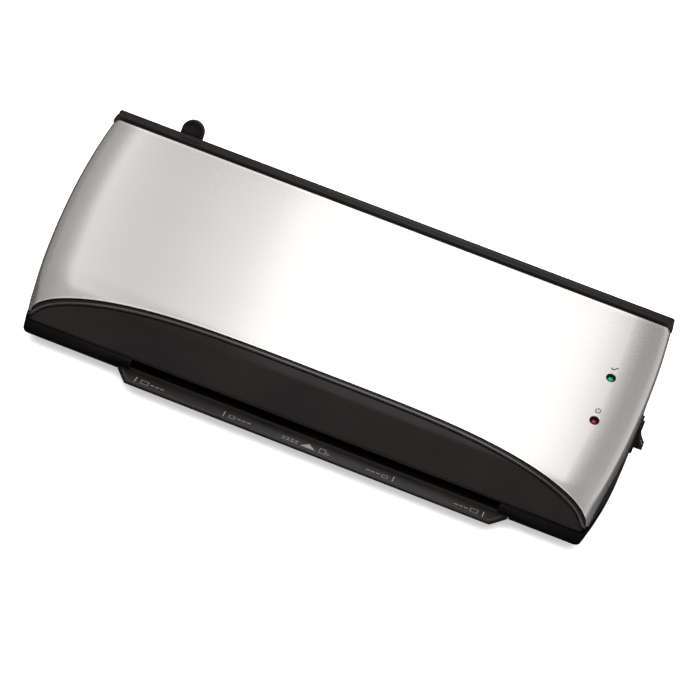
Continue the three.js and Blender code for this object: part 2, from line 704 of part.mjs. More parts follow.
part('spring_bridge', crossBar(SPRING_S, BRIDGE_N), ZINC, path);
part('front_bar', crossBar(30, 12), ZINC, path);
part('upper_heater_shoe', heaterShoe(1), ALUMINIUM, path);
part('lower_heater_shoe', heaterShoe(-1), ALUMINIUM, path);
part('upper_heater_element', heaterElement(1), MICA, path);
part('lower_heater_element', heaterElement(-1), MICA, path);
part('thermostat', toSolid(prismZ(circle(FEED_X + 20, 52, 7.5, 20), 6.6, 13.5)), CERAMIC, path);
part('thermal_fuse', toSolid(block(FEED_X - 30, 49, 6.6, FEED_X - 12, 54, 10.6)), CERAMIC, path);
part('exit_guide', exitGuide(), BLACK_SATIN, path);

place(part('lower_roller_shaft', shaft(), STEEL, path), 0, ROLLER_S, -ROLLER_N);
place(part('upper_roller_shaft', shaft(), STEEL, path), 0, ROLLER_S, ROLLER_N);
place(part('lower_roller_sleeve', sleeve(), SILICONE, path), 0, ROLLER_S, -ROLLER_N);
place(part('upper_roller_sleeve', sleeve(), SILICONE, path), 0, ROLLER_S, ROLLER_N);

const lowerPhase = Math.PI / 2;
const upperPhase = meshPhase(Math.PI / 2, lowerPhase, ROLLER_TEETH, ROLLER_TEETH);
const idlerPhase = meshPhase(IDLER_BEARING, lowerPhase, ROLLER_TEETH, IDLER_TEETH);
const pinionPhase = meshPhase(PINION_BEARING, idlerPhase, IDLER_TEETH, PINION_TEETH);
const idlerReach = (ROLLER_TEETH + IDLER_TEETH) / 2;
const pinionReach = (IDLER_TEETH + PINION_TEETH) / 2;
const idler = {
  s: ROLLER_S + idlerReach * Math.cos(IDLER_BEARING),
  n: -ROLLER_N + idlerReach * Math.sin(IDLER_BEARING),
};
const motor = {
  s: idler.s + pinionReach * Math.cos(PINION_BEARING),
  n: idler.n + pinionReach * Math.sin(PINION_BEARING),
};
const gearBore = SHAFT_R + 0.05;
place(part('lower_roller_gear', gear(ROLLER_TEETH, lowerPhase, gearBore), NYLON, path),
  0, ROLLER_S, -ROLLER_N);
place(part('upper_roller_gear', gear(ROLLER_TEETH, upperPhase, gearBore), NYLON, path),
  0, ROLLER_S, ROLLER_N);
place(part('idler_gear', gear(IDLER_TEETH, idlerPhase, 2.6), NYLON, path), 0, idler.s, idler.n);
place(part('motor_pinion', motorPinion(pinionPhase), NYLON, path), 0, motor.s, motor.n);
place(part('motor', motorBody(), ZINC, path), 0, motor.s, motor.n);
const plateLeft = FEED_X - FRAME_INNER - FRAME_THICKNESS;
place(part('idler_stud', toSolid(rodX(-125.4, plateLeft - 0.2, 2.3, 16)), STEEL, path), 0, idler.s, idler.n);
earPlaces().forEach(([s, n], i) => {
  const pillar = toSolid(rodX(-126.6, plateLeft - 0.2, 3, 16));
  place(part(`motor_pillar_${i + 1}`, pillar, STEEL, path), 0, motor.s + s, motor.n + n);
});

const releaseShaft = toSolid(rodX(LEVER_X - 8.3, FEED_X + 127, RELEASE_R - 0.05, 20));
place(part('release_shaft', releaseShaft, STEEL, path), 0, RELEASE.s, RELEASE.n);
const releaseY = RELEASE.s * Math.cos(PATH_TILT) - RELEASE.n * Math.sin(PATH_TILT);
const releaseZ = PATH_Z + RELEASE.s * Math.sin(PATH_TILT) + RELEASE.n * Math.cos(PATH_TILT);
place(part('release_lever', releaseLever(), BLACK_SATIN), 0, releaseY, releaseZ);

// The springs stand at their length with the arms lifted
const springN = RELEASE.n + CAM_R + 4.2 + SPRING_ROOM;
for (const [side, label] of [[-1, 'left'], [1, 'right']]) {
  const coil = spring(BRIDGE_N - springN - 0.3, 3.2, 0.5, 5);
  place(part(`pressure_spring_${label}`, coil, STEEL, path), FEED_X + side * 117, SPRING_S, springN);
}

part('led_board', lampBoard(), BOARD);
part('led_ready', lamp(LED_READY), GREEN_LENS);
part('led_power', lamp(LED_POWER), RED_LENS);
part('control_board', toSolid(block(139.5, 34, 14, 141.1, 104, 46)), BOARD);
part('relay', toSolid(block(141.3, 70, 18, 156.5, 89, 32)), BLUE_CASE);
part('terminal_block', toSolid(block(141.3, 42, 18, 152, 64, 28)), NYLON);
part('power_switch', switchBody(), BLACK_SATIN);
place(part('power_rocker', rocker(), BLACK_GLOSS), halfWidth(SWITCH_Y) + 1.5, SWITCH_Y, SWITCH_Z);

// Row origin: middle of the footprint, on the floor
machine.updateMatrixWorld(true);
const bounds = new THREE.Box3().setFromObject(machine, true);
const centre = bounds.getCenter(new THREE.Vector3());
machine.position.set(-centre.x, -centre.y, -bounds.min.z);

const laminator = new THREE.Group();
laminator.name = 'pouch_laminator';
laminator.add(machine);

export default laminator;
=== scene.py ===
import json
import math

import bmesh
import bpy
from mathutils import Matrix, Vector


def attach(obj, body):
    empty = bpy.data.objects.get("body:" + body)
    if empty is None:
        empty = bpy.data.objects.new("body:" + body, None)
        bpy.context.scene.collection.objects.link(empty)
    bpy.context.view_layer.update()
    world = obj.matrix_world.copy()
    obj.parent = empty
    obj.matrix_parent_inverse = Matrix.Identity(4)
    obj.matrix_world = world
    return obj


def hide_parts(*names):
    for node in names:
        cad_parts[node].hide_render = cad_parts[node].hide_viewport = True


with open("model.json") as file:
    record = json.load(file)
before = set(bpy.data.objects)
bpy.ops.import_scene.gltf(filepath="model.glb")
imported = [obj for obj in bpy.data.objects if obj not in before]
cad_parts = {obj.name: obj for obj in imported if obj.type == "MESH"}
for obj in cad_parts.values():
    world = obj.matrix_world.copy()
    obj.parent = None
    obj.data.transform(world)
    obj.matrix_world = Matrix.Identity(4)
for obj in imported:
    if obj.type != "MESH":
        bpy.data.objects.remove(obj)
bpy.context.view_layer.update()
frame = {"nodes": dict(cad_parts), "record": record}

# ---------------------------------------------------------------- dimensions, in millimetres
# x = 0 is the middle of the body, y = 0 its front, z = 0 the floor; SHIFT takes that to the row frame.

SHIFT = (-3.4777, -66.1739, 0.0)
HALF_WIDTH = 185.3
WAIST = 4.43
WAIST_REACH = 64.0
WIDEST_Y = 87.9
ROUND = 4.5
REAR_Y = 136.3
COVER_REAR_Y = 128.6
COVER_Z = 19.8
BASE_Z = 8.0
BASE_TOP_Z = 19.5
ARCH_HALF = 177.3
ARCH_END_Z = 19.8
ARCH_TOP_Z = 45.4
ARCH_POWER = 3.78
FEED_X = 8.8
SLOT_HALF = 117.0
SLOT_FLOOR_Z = 10.6
SLOT_ROOF_Z = 16.6
EXIT_Z = 37.6
EXIT_HALF_HEIGHT = 3.2
LED_X = 159.5
LED_READY = (80.6, 75.1)
LED_POWER = (51.0, 61.8)
LEVER_X = -136.0
LEVER_AXIS = (124.90, 53.90)
LEVER_ANGLE = math.radians(69.8)
LEVER_LENGTH = 53.4
LEVER_HALF = 7.3
SWITCH_Y = 96.0
SWITCH_Z = 34.5
INLET_X = 150.0
INLET_Z = 30.0
FEET = [(-160, 22), (160, 22), (-164, 116), (164, 116)]
SCREW_INSET = 0.88
WALL = 2.5
SWITCH_HOLE = (6.9, 9.9)
ROCKER_TILT = math.radians(-15)


def metres(x, y, z):
    return Vector(((x + SHIFT[0]) / 1000, (y + SHIFT[1]) / 1000, (z + SHIFT[2]) / 1000))


def half_width(y):
    """Half the body's width at that distance behind its front."""
    return HALF_WIDTH - WAIST * ((y - WIDEST_Y) / WAIST_REACH) ** 2


def arch_z(x, inset=0.0):
    """Height of the arch between cover and fascia."""
    half = ARCH_HALF - inset
    rise = math.sqrt(max(0.0, 1 - min(1.0, abs(x) / half) ** ARCH_POWER))
    return ARCH_END_Z - inset + (ARCH_TOP_Z - ARCH_END_Z) * rise


def quadratic(a, b, c, count):
    points = []
    for i in range(count):
        t = i / (count - 1)
        points.append(tuple((1 - t) ** 2 * p + 2 * t * (1 - t) * q + t * t * r for p, q, r in zip(a, b, c)))
    return points


class Profile:
    """The line down the middle of the body, front to rear, by its length."""

    def __init__(self):
        foot = [(0.0, 6.0 + i) for i in range(6)]
        front = [(1 + 8.6 * i / 12, 16 + 17.2 * i / 12) for i in range(12)]
        bend = quadratic((9.6, 33.2), (14.7, 43.5), (26.0, 49.3), 40)
        slope = quadratic((26.0, 49.3), (78.0, 76.4), (129.0, 93.5), 80)
        rear = [(129 + 7.3 * i / 6, 93.5 + 2.1 * i / 6) for i in range(1, 7)]
        self.points = foot + front + bend + slope[1:] + rear
        self.lengths = [0.0]
        for (ya, za), (yb, zb) in zip(self.points, self.points[1:]):
            self.lengths.append(self.lengths[-1] + math.hypot(yb - ya, zb - za))
        self.total = self.lengths[-1]

    def at(self, length):
        """(y, z, inward y, inward z) at that length."""
        low, high = 0, len(self.lengths) - 1
        while high - low > 1:
            middle = (low + high) // 2
            if self.lengths[middle] <= length:
                low = middle
            else:
                high = middle
        span = self.lengths[high] - self.lengths[low]
        t = (length - self.lengths[low]) / span
        (ya, za), (yb, zb) = self.points[low], self.points[high]
        dy, dz = self.direction(low, t)
        return ya + (yb - ya) * t, za + (zb - za) * t, dz, -dy

    def direction(self, low, t):
        def step(i):
            i = min(max(i, 0), len(self.points) - 2)
            (ya, za), (yb, zb) = self.points[i], self.points[i + 1]
            size = math.hypot(yb - ya, zb - za)
            return (yb - ya) / size, (zb - za) / size
        before, here, after = step(low - 1), step(low), step(low + 1)
        start = [(a + b) / 2 for a, b in zip(before, here)]
        end = [(a + b) / 2 for a, b in zip(here, after)]
        dy, dz = (s + (e - s) * t for s, e in zip(start, end))
        size = math.hypot(dy, dz)
        return dy / size, dz / size


PROFILE = Profile()


def across(column, length, inset=0.0):
    """A point of the body's skin. column is ("top", -1..1), ("edge", side, 0..1) or
    ("wall", side, 0..1)."""
    y, z, ny, nz = PROFILE.at(length)
    radius = ROUND - inset
    if column[0] == "top":
        y, z = y + ny * inset, z + nz * inset
        return column[1] * (half_width(y) - ROUND), y, z
    side = column[1]
    angle = math.pi / 2 * (column[2] if column[0] == "edge" else 1.0)
    depth = ROUND - radius * math.cos(angle)
    y, z = y + ny * depth, z + nz * depth
    x = half_width(y) - ROUND + radius * math.sin(angle)
    if column[0] == "wall":
        z += (COVER_Z - z) * column[2]
    return side * x, y, z


def find(test, low, high):
    """Where test turns from negative to positive, by halving."""
    for _ in range(40):
        middle = (low + high) / 2
        if test(middle) < 0:
            low = middle
        else:
            high = middle
    return (low + high) / 2


# ---------------------------------------------------------------- mesh helpers

def mesh_object(name, vertices, faces):
    mesh = bpy.data.meshes.new(name)
    mesh.from_pydata([tuple(v) for v in vertices], [], faces)
    mesh.validate()
    obj = bpy.data.objects.new(name, mesh)
    bpy.context.collection.objects.link(obj)
    return obj


def grid_object(name, rows, close_u=False, close_v=False, cap=False):
    """Quads over rows of points; close_u joins each row's ends, close_v the first and last row."""
    height, width = len(rows), len(rows[0])
    vertices = [point for row in rows for point in row]
    faces = []
    for i in range(height if close_v else height - 1):
        for j in range(width if close_u else width - 1):
            a = i * width + j
            b = i * width + (j + 1) % width
            c = ((i + 1) % height) * width + (j + 1) % width
            d = ((i + 1) % height) * width + j
            faces.append((a, b, c, d))
    if cap:
        faces.append(tuple(reversed(range(width))))
        faces.append(tuple(range((height - 1) * width, height * width)))
    obj = mesh_object(name, vertices, faces)
    tidy(obj)
    return obj


def tidy(obj, distance=2e-6):
    bm = bmesh.new()
    bm.from_mesh(obj.data)
    bmesh.ops.remove_doubles(bm, verts=bm.verts, dist=distance)
    bmesh.ops.dissolve_degenerate(bm, dist=1e-7, edges=bm.edges)
    bmesh.ops.recalc_face_normals(bm, faces=bm.faces)
    bm.to_mesh(obj.data)
    bm.free()


def prism(name, outline, low, high, axis):
    """An outline run along an axis: (y, z) along X, (x, z) along Y, (x, y) along Z, all in millimetres."""
    def point(a, b, c):
        return {"X": metres(c, a, b), "Y": metres(a, c, b), "Z": metres(a, b, c)}[axis]
    rows = [[point(a, b, c) for a, b in outline] for c in (low, high)]
    return grid_object(name, rows, close_u=True, cap=True)


def box(name, x0, y0, z0, x1, y1, z1):
    return prism(name, [(x0, y0), (x1, y0), (x1, y1), (x0, y1)], z0, z1, "Z")


def circle(a, b, radius, sides=48):
    return [(a + radius * math.cos(2 * math.pi * i / sides), b + radius * math.sin(2 * math.pi * i / sides))
            for i in range(sides)]


def rounded(a0, b0, a1, b1, radius, steps=6):
    points = []
    left, right, low, high = a0 + radius, a1 - radius, b0 + radius, b1 - radius
    centres = [(right, low), (right, high), (left, high), (left, low)]
    for corner, (a, b) in enumerate(centres):
        for i in range(steps + 1):
            angle = -math.pi / 2 + (corner + i / steps) * math.pi / 2
            points.append((a + radius * math.cos(angle), b + radius * math.sin(angle)))
    return points


def settle(obj):
    """Makes the object's modifiers part of its mesh."""
    depsgraph = bpy.context.evaluated_depsgraph_get()
    mesh = bpy.data.meshes.new_from_object(obj.evaluated_get(depsgraph))
    obj.modifiers.clear()
    old = obj.data
    obj.data = mesh
    bpy.data.meshes.remove(old)


def boolean(obj, others, operation="DIFFERENCE"):
    for other in others:
        modifier = obj.modifiers.new("boolean", "BOOLEAN")
        modifier.operation = operation
        modifier.solver = "EXACT"
        modifier.object = other
        settle(obj)
        bpy.data.objects.remove(other)
    return obj


def soften(obj, width, segments=3, angle=35):
    modifier = obj.modifiers.new("bevel", "BEVEL")
    modifier.width = width / 1000
    modifier.segments = segments
    modifier.limit_method = "ANGLE"
    modifier.angle_limit = math.radians(angle)
    modifier.use_clamp_overlap = True
    modifier.miter_outer = "MITER_ARC"
    settle(obj)
    return obj


def thicken(obj, thickness):
    modifier = obj.modifiers.new("wall", "SOLIDIFY")
    modifier.thickness = thickness / 1000
    modifier.offset = -1
    modifier.use_even_offset = True
    settle(obj)
    return obj


def lathe(name, outline, place, turn=None, sides=64):
    """Outline of (radius, height) spun about Z, then turned by a matrix and moved to place."""
    turn = turn or Matrix.Identity(3)
    rows = []
    for radius, height in outline:
        ring = []
        for i in range(sides):
            angle = 2 * math.pi * i / sides
            local = turn @ Vector((radius * math.cos(angle), radius * math.sin(angle), height))
            ring.append(metres(*(Vector(place) + local)))
        rows.append(ring)
    return grid_object(name, rows, close_u=True, cap=outline[0][0] > 0 and outline[-1] != outline[0])


def piece(obj, body, material, nodes=(), angle=32):
    """Finishes a piece: shading, material, the body it rides on and the nodes it stands for."""
    obj.data.shade_smooth()
    obj.data.set_sharp_from_angle(angle=math.radians(angle))
    obj.data.materials.clear()
    obj.data.materials.append(material)
    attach(obj, body)
    if nodes:
        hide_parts(*nodes)
    return obj


# ---------------------------------------------------------------- materials

class Nodes:
    """Short names for building a node tree."""

    def __init__(self, name):
        self.material = bpy.data.materials.new(name)
        self.material.use_nodes = True
        self.tree = self.material.node_tree
        self.shader = self.tree.nodes["Principled BSDF"]
        self.place = self.add("ShaderNodeTexCoord").outputs["Object"]

    def add(self, kind, **settings):
        node = self.tree.nodes.new(kind)
        for key, value in settings.items():
            setattr(node, key, value)
        return node

    def link(self, source, target):
        self.tree.links.new(source, target)

    def noise(self, scale, detail=3.0, stretch=(1, 1, 1), roughness=0.5):
        mapping = self.add("ShaderNodeMapping")
        mapping.inputs["Scale"].default_value = stretch
        self.link(self.place, mapping.inputs["Vector"])
        node = self.add("ShaderNodeTexNoise")
        node.inputs["Scale"].default_value = scale
        node.inputs["Detail"].default_value = detail
        node.inputs["Roughness"].default_value = roughness
        self.link(mapping.outputs["Vector"], node.inputs["Vector"])
        return node.outputs["Fac"]

    def spread(self, value, low, high, start=0.3, end=0.7):
        node = self.add("ShaderNodeMapRange")
        node.inputs["From Min"].default_value = start
        node.inputs["From Max"].default_value = end
        node.inputs["To Min"].default_value = low
        node.inputs["To Max"].default_value = high
        self.link(value, node.inputs["Value"])
        return node.outputs["Result"]

    def blend(self, factor, a, b):
        node = self.add("ShaderNodeMix", data_type="RGBA")
        self.link(factor, node.inputs["Factor"])
        for socket, value in (("A", a), ("B", b)):
            target = [i for i in node.inputs if i.name == socket and i.type == "RGBA"][0]
            if isinstance(value, tuple):
                target.default_value = (*value, 1)
            else:
                self.link(value, target)
        return [o for o in node.outputs if o.type == "RGBA"][0]

    def bump(self, height, distance, strength=1.0, normal=None):
        node = self.add("ShaderNodeBump")
        node.inputs["Distance"].default_value = distance
        node.inputs["Strength"].default_value = strength
        self.link(height, node.inputs["Height"])
        if normal is not None:
            self.link(normal, node.inputs["Normal"])
        return node.outputs["Normal"]

    def math(self, operation, value, operand):
        node = self.add("ShaderNodeMath", operation=operation)
        for socket, given in zip(node.inputs, (value, operand)):
            if isinstance(given, (int, float)):
                socket.default_value = given
            else:
                self.link(given, socket)
        return node.outputs[0]

    def end_fall(self, start):
        """Minus the square of the distance past start towards either end: the cover's slight roll-off."""
        split = self.add("ShaderNodeSeparateXYZ")
        self.link(self.place, split.inputs["Vector"])
        behind = self.math("SUBTRACT", split.outputs["Y"], (WIDEST_Y + SHIFT[1]) / 1000)
        reach = self.math("DIVIDE", behind, WAIST_REACH / 1000)
        waist = self.math("MULTIPLY", self.math("POWER", self.math("ABSOLUTE", reach, 0), 2), WAIST / 1000)
        out = self.math("ABSOLUTE", self.math("SUBTRACT", split.outputs["X"], SHIFT[0] / 1000), 0)
        past = self.math("MAXIMUM", self.math("SUBTRACT", self.math("ADD", out, waist), start), 0)
        return self.math("MULTIPLY", self.math("POWER", past, 2), -1)

    def edges(self, start, end):
        """0 on flat ground, 1 on outer edges: paler wear on the plastics and metals, a painted highlight on
        the silver cover.
        """
        pointiness = self.add("ShaderNodeNewGeometry").outputs["Pointiness"]
        return self.spread(pointiness, 0.0, 1.0, start, end)


def plastic(name, color, roughness, grain=2600, grain_depth=2.2e-5, spread_by=0.06, coat=0.0, worn=0.5,
            specular=0.5):
    """Moulded plastic: fine grain, uneven sheen, faint clouding and paler edges."""
    n = Nodes(name)
    clouds = n.noise(28, 4)
    lift = tuple(min(1, c * 1.35 + 0.0012) for c in color)
    tone = n.blend(n.spread(clouds, 0, 1), color, lift)
    edge_tone = tuple(min(1, c * (1 + 2.2 * worn) + 0.012 * worn) for c in color)
    n.link(n.blend(n.edges(0.53, 0.62), tone, edge_tone), n.shader.inputs["Base Color"])
    smears = n.noise(70, 5, (1, 2.2, 1))
    n.link(n.spread(smears, roughness - spread_by, roughness + spread_by), n.shader.inputs["Roughness"])
    fine = n.bump(n.noise(grain, 2), grain_depth, 0.55)
    n.link(n.bump(n.noise(95, 2), 2.5e-5, 0.25, fine), n.shader.inputs["Normal"])
    n.shader.inputs["Specular IOR Level"].default_value = specular
    n.shader.inputs["Coat Weight"].default_value = coat
    n.shader.inputs["Coat Roughness"].default_value = 0.12
    return n.material


def metal(name, color, roughness, stretch=(1, 40, 40), depth=1.2e-5, spread_by=0.08):
    """Bare metal: brush lines, uneven polish and lighter edges."""
    n = Nodes(name)
    n.shader.inputs["Metallic"].default_value = 1.0
    lines = n.noise(60, 4, stretch, 0.65)
    darker = tuple(c * 0.78 for c in color)
    tone = n.blend(n.spread(n.noise(22, 3), 0, 1), darker, color)
    lighter = tuple(min(1, c * 1.25) for c in color)
    n.link(n.blend(n.edges(0.53, 0.6), tone, lighter), n.shader.inputs["Base Color"])
    n.link(n.spread(lines, roughness - spread_by, roughness + spread_by), n.shader.inputs["Roughness"])
    n.link(n.bump(lines, depth, 0.5), n.shader.inputs["Normal"])
    return n.material


def silver_shell():
    """Satin metallic paint: fine flakes, faint clouding, long, barely visible polish lines, and outer edges
    painted paler as a painted highlight for the bright rim along the arch.
    """
    n = Nodes("silver_satin")
    n.shader.inputs["Metallic"].default_value = 0.9
    flakes = n.noise(5200, 2, (1, 1, 1), 0.8)
    clouds = n.noise(9, 3, (0.6, 1.6, 1))
    tone = n.blend(n.spread(clouds, 0, 1), (0.640, 0.612, 0.594), (0.665, 0.640, 0.622))
    tone = n.blend(n.spread(flakes, 0, 0.12, 0.45, 0.75), tone, (0.80, 0.775, 0.76))
    # painted highlight: paler outer edges stand in for the bright rim of light along the arch and the
    # cover's edges
    n.link(n.blend(n.edges(0.54, 0.64), tone, (0.86, 0.84, 0.82)), n.shader.inputs["Base Color"])
    lines = n.noise(40, 4, (0.4, 40, 40), 0.5)
    n.link(n.spread(lines, 0.232, 0.248), n.shader.inputs["Roughness"])
    fine = n.bump(lines, 6.0e-7, 0.3, n.bump(n.end_fall(0.161), 4.4))
    n.link(n.bump(flakes, 1.0e-6, 0.25, fine), n.shader.inputs["Normal"])
    n.shader.inputs["Coat Weight"].default_value = 0.12
    n.shader.inputs["Coat Roughness"].default_value = 0.2
    return n.material


def lens(name, color, glow):
    """Coloured lens with a faint glow."""
    n = Nodes(name)
    tone = n.blend(n.spread(n.noise(900, 3), 0, 1), color, tuple(c * 0.6 for c in color))
    n.link(tone, n.shader.inputs["Base Color"])
    n.link(n.spread(n.noise(300, 2), 0.08, 0.2), n.shader.inputs["Roughness"])
    n.shader.inputs["Emission Color"].default_value = (*color, 1)
    n.shader.inputs["Emission Strength"].default_value = glow
    n.shader.inputs["Coat Weight"].default_value = 0.6
    return n.material


def print_ink(name, color):
    """Printed ink, slightly uneven; also the grey of the painted highlight line along the tray's lip."""
    n = Nodes(name)
    tone = n.blend(n.spread(n.noise(1500, 3), 0, 1), color, tuple(c * 0.8 for c in color))
    n.link(tone, n.shader.inputs["Base Color"])
    n.link(n.spread(n.noise(400, 2), 0.45, 0.65), n.shader.inputs["Roughness"])
    return n.material


SILVER = silver_shell()
BLACK_SATIN = plastic("black_satin", (0.0042, 0.0035, 0.0032), 0.28, specular=0.24)
BLACK_MATTE = plastic("black_matte", (0.0012, 0.0009, 0.0008), 0.42, grain=2000, grain_depth=3e-5,
                      specular=0.02)
BLACK_TEXTURED = plastic("black_textured", (0.0080, 0.0070, 0.0068), 0.50, grain=1700, grain_depth=4e-5,
                         specular=0.3)
BLACK_GLOSS = plastic("black_gloss", (0.0048, 0.0038, 0.0035), 0.17, grain=3000, grain_depth=4e-6,
                      specular=0.2)
# paler than the fascia's black: real polish (coat, strong specular) plus a painted highlight, a raised base
# colour that brightens the bead
BLACK_POLISH_AND_HIGHLIGHT = plastic("black_polish_and_highlight", (0.0090, 0.0078, 0.0072), 0.26, grain=3000, grain_depth=2e-6,
                         coat=0.3, specular=0.9)
RUBBER = plastic("foot_rubber", (0.017, 0.016, 0.016), 0.78, grain=900, grain_depth=6e-5, worn=0.8)
NYLON = plastic("nylon", (0.70, 0.66, 0.56), 0.48, grain=1400, worn=0.1)
SILICONE = plastic("silicone_rubber", (0.36, 0.085, 0.045), 0.62, grain=1100, grain_depth=3e-5, worn=0.2)
BOARD = plastic("circuit_board", (0.02, 0.13, 0.045), 0.36, grain=800, worn=0.4)
MICA = plastic("mica_sheet", (0.42, 0.30, 0.13), 0.5, grain=500, grain_depth=3e-5, worn=0.2)
CERAMIC = plastic("ceramic_case", (0.66, 0.63, 0.56), 0.55, grain=1200, worn=0.1)
BLUE_CASE = plastic("relay_case", (0.02, 0.06, 0.16), 0.3, grain=2000, worn=0.3)
ZINC = metal("zinc_plate", (0.46, 0.47, 0.48), 0.40, (18, 18, 18))
STEEL = metal("ground_steel", (0.56, 0.56, 0.57), 0.26)
ALUMINIUM = metal("mill_aluminium", (0.74, 0.74, 0.75), 0.36)
BRONZE = metal("sintered_bronze", (0.50, 0.35, 0.16), 0.42, (9, 9, 9))
GREEN_LENS = lens("green_lens", (0.002, 0.21, 0.075), 0.16)
RED_LENS = lens("red_lens", (0.135, 0.002, 0.008), 0.10)
INK_PALE = print_ink("pale_print", (0.17, 0.160, 0.155))
# painted highlight: grey standing in for light on the tray's rounded front lip
LIP_HIGHLIGHT_GREY = print_ink("painted_lip_highlight", (0.050, 0.046, 0.044))
INK_DARK = print_ink("dark_print", (0.045, 0.042, 0.042))

SLOT_MATERIALS = {
    "silver_shell": SILVER, "gloss_black": BLACK_GLOSS, "black_plastic": BLACK_SATIN, "rubber": RUBBER,
    "zinc": ZINC, "steel": STEEL, "aluminium": ALUMINIUM, "bronze": BRONZE, "silicone": SILICONE,
    "nylon": NYLON, "board": BOARD, "mica": MICA, "ceramic": CERAMIC, "red_lens": RED_LENS,
    "green_lens": GREEN_LENS, "blue_case": BLUE_CASE,
}


def dress_cad_nodes():
    """Every CAD node gets its finish."""
    slots = {entry["node"]: entry["material_slot"] for entry in frame["record"]["subparts"]}
    for name, obj in frame["nodes"].items():
        for slot in obj.material_slots:
            slot.material = SLOT_MATERIALS[slots[name]]
        if not obj.material_slots:
            obj.data.materials.append(SLOT_MATERIALS[slots[name]])


# ---------------------------------------------------------------- outer shell

EDGE_STEPS = 8
WALL_STEPS = 14
TOP_STEPS = 120
SKIRT_TOP = 0.4


def skin_columns(wall=True):
    """Columns of the skin from the left, over the top, to the right."""
    columns = []
    walls = [1 - i / WALL_STEPS for i in range(WALL_STEPS)] if wall else []
    edges = [1 - i / EDGE_STEPS for i in range(EDGE_STEPS)]
    columns += [("wall", -1, t) for t in walls]
    columns += [("edge", -1, t) for t in edges]
    columns += [("top", -math.cos(math.pi * (0.08 + 0.84 * i / TOP_STEPS)) / math.cos(math.pi * 0.08))
                for i in range(TOP_STEPS + 1)]
    columns += [("edge", 1, t) for t in reversed(edges)]
    columns += [("wall", 1, t) for t in reversed(walls)]
    return columns


def led_slope():
    """Slope of the cover between the two lamps."""
    return math.atan2(LED_READY[1] - LED_POWER[1], LED_READY[0] - LED_POWER[0])


def led_turn():
    return Matrix.Rotation(led_slope(), 3, "X")


def switch_cut():
    """Cutter for the switch's hole in the right wall."""
    along, up = SWITCH_HOLE
    return box("switch_cut", 170, SWITCH_Y - along, SWITCH_Z - up, 200, SWITCH_Y + along, SWITCH_Z + up)


def make_top_cover():
    """Silver shell from the arch to the rear trim, with its two end walls."""
    rows_count = 72
    columns = skin_columns()
    spans = []
    for column in columns:
        def over_arch(length, column=column):
            x, y, z = across(column, length)
            if column[0] == "wall":
                x, y, z = across(("edge", column[1], 1.0), length)
            return z - arch_z(x)

        def past_rear(length, column=column):
            return across(column, length)[1] - COVER_REAR_Y
        spans.append((find(over_arch, 4.0, 90.0), find(past_rear, 60.0, PROFILE.total)))
    rows = []
    for i in range(rows_count + 1):
        t = 0.994 if i == rows_count - 1 else (i / rows_count) ** 1.25
        rows.append([metres(*across(column, start + (end - start) * t))
                     for column, (start, end) in zip(columns, spans)])
    obj = grid_object("top_cover_shell", rows)
    thicken(obj, 2.4)
    soften(obj, 0.42, 3, 50)
    holes = []
    for y, z in (LED_READY, LED_POWER):
        outline = [(3.5, 1.5), (3.0, -0.25), (3.0, -6)]
        holes.append(lathe("led_cut", outline, (LED_X, y, z), led_turn()))
    holes.append(switch_cut())
    boolean(obj, holes)
    return piece(obj, "housing", SILVER, ["top_cover"], 30)


def fascia_relief(depth, room):
    """Height of the fascia's skin at that distance under its arched edge: rim, channel, panel."""
    scale = min(1.0, room / 6.0)
    d = depth / max(scale, 0.05)
    if d < 0.5:
        return scale * (-0.35 + 0.35 * math.sin(math.pi * d))
    if d < 1.0:
        return scale * -0.6 * (d - 0.5) / 0.5
    if d < 4.5:
        return scale * -0.6
    if d < 5.0:
        return scale * -0.6 * (5.0 - d) / 0.5
    return 0.0


def make_fascia():
    """Black panel under the arch; depths are the distances of its first rows from the arched edge."""
    inset = 1.0
    edge_gap = 0.35
    depths = [0, 0.12, 0.25, 0.4, 0.5, 0.7, 0.95, 1.2, 1.7, 2.2, 2.7, 3.2, 3.7, 4.1, 4.4, 4.52, 4.65,
              4.8, 4.92, 5.05, 5.3, 5.8]
    below = 26
    columns = skin_columns(wall=False)
    table = []
    for column in columns:
        def over_arch(length, column=column):
            x, y, z = across(column, length, inset)
            return z - arch_z(x, edge_gap)

        def over_foot(length, column=column):
            return across(column, length, inset)[2] - SLOT_ROOF_Z
        top = find(over_arch, 4.0, 90.0)
        foot = find(over_foot, 1.0, 60.0)
        table.append((column, foot, top))
    tops = [metres(*across(column, top, inset)) for column, _, top in table]
    rows = [[] for _ in range(len(depths) + below)]
    for k, (column, foot, top) in enumerate(table):
        a, b = tops[max(k - 1, 0)], tops[min(k + 1, len(tops) - 1)]
        run = (b - a).normalized()
        up = (tops[k] - metres(*across(column, top - 1, inset))).normalized()
        lean = max(0.25, math.sqrt(max(0.0, 1 - run.dot(up) ** 2)))
        room = (top - foot) * lean
        scale = min(1.0, (top - foot) / 7.0)
        step = scale / lean
        if room < 6:
            step = min(step, (top - foot) * 0.9 / depths[-1])
        lengths = [top - d * step for d in depths]
        start = lengths[-1]
        lengths += [start + (foot - start) * (i + 1) / below for i in range(below)]
        for i, length in enumerate(lengths):
            relief = fascia_relief((top - length) * lean, room)
            foot_round = max(0.0, 0.7 - (length - foot))
            relief -= foot_round ** 2 * 0.8
            rows[i].append(metres(*across(column, length, inset - relief)))
    obj = grid_object("fascia_panel", rows)
    flip_outward(obj, Vector((0, -1, 0.4)))
    thicken(obj, 1.9)
    make_bead(table, inset)
    return piece(obj, "housing", BLACK_GLOSS, ["front_fascia"], 50)


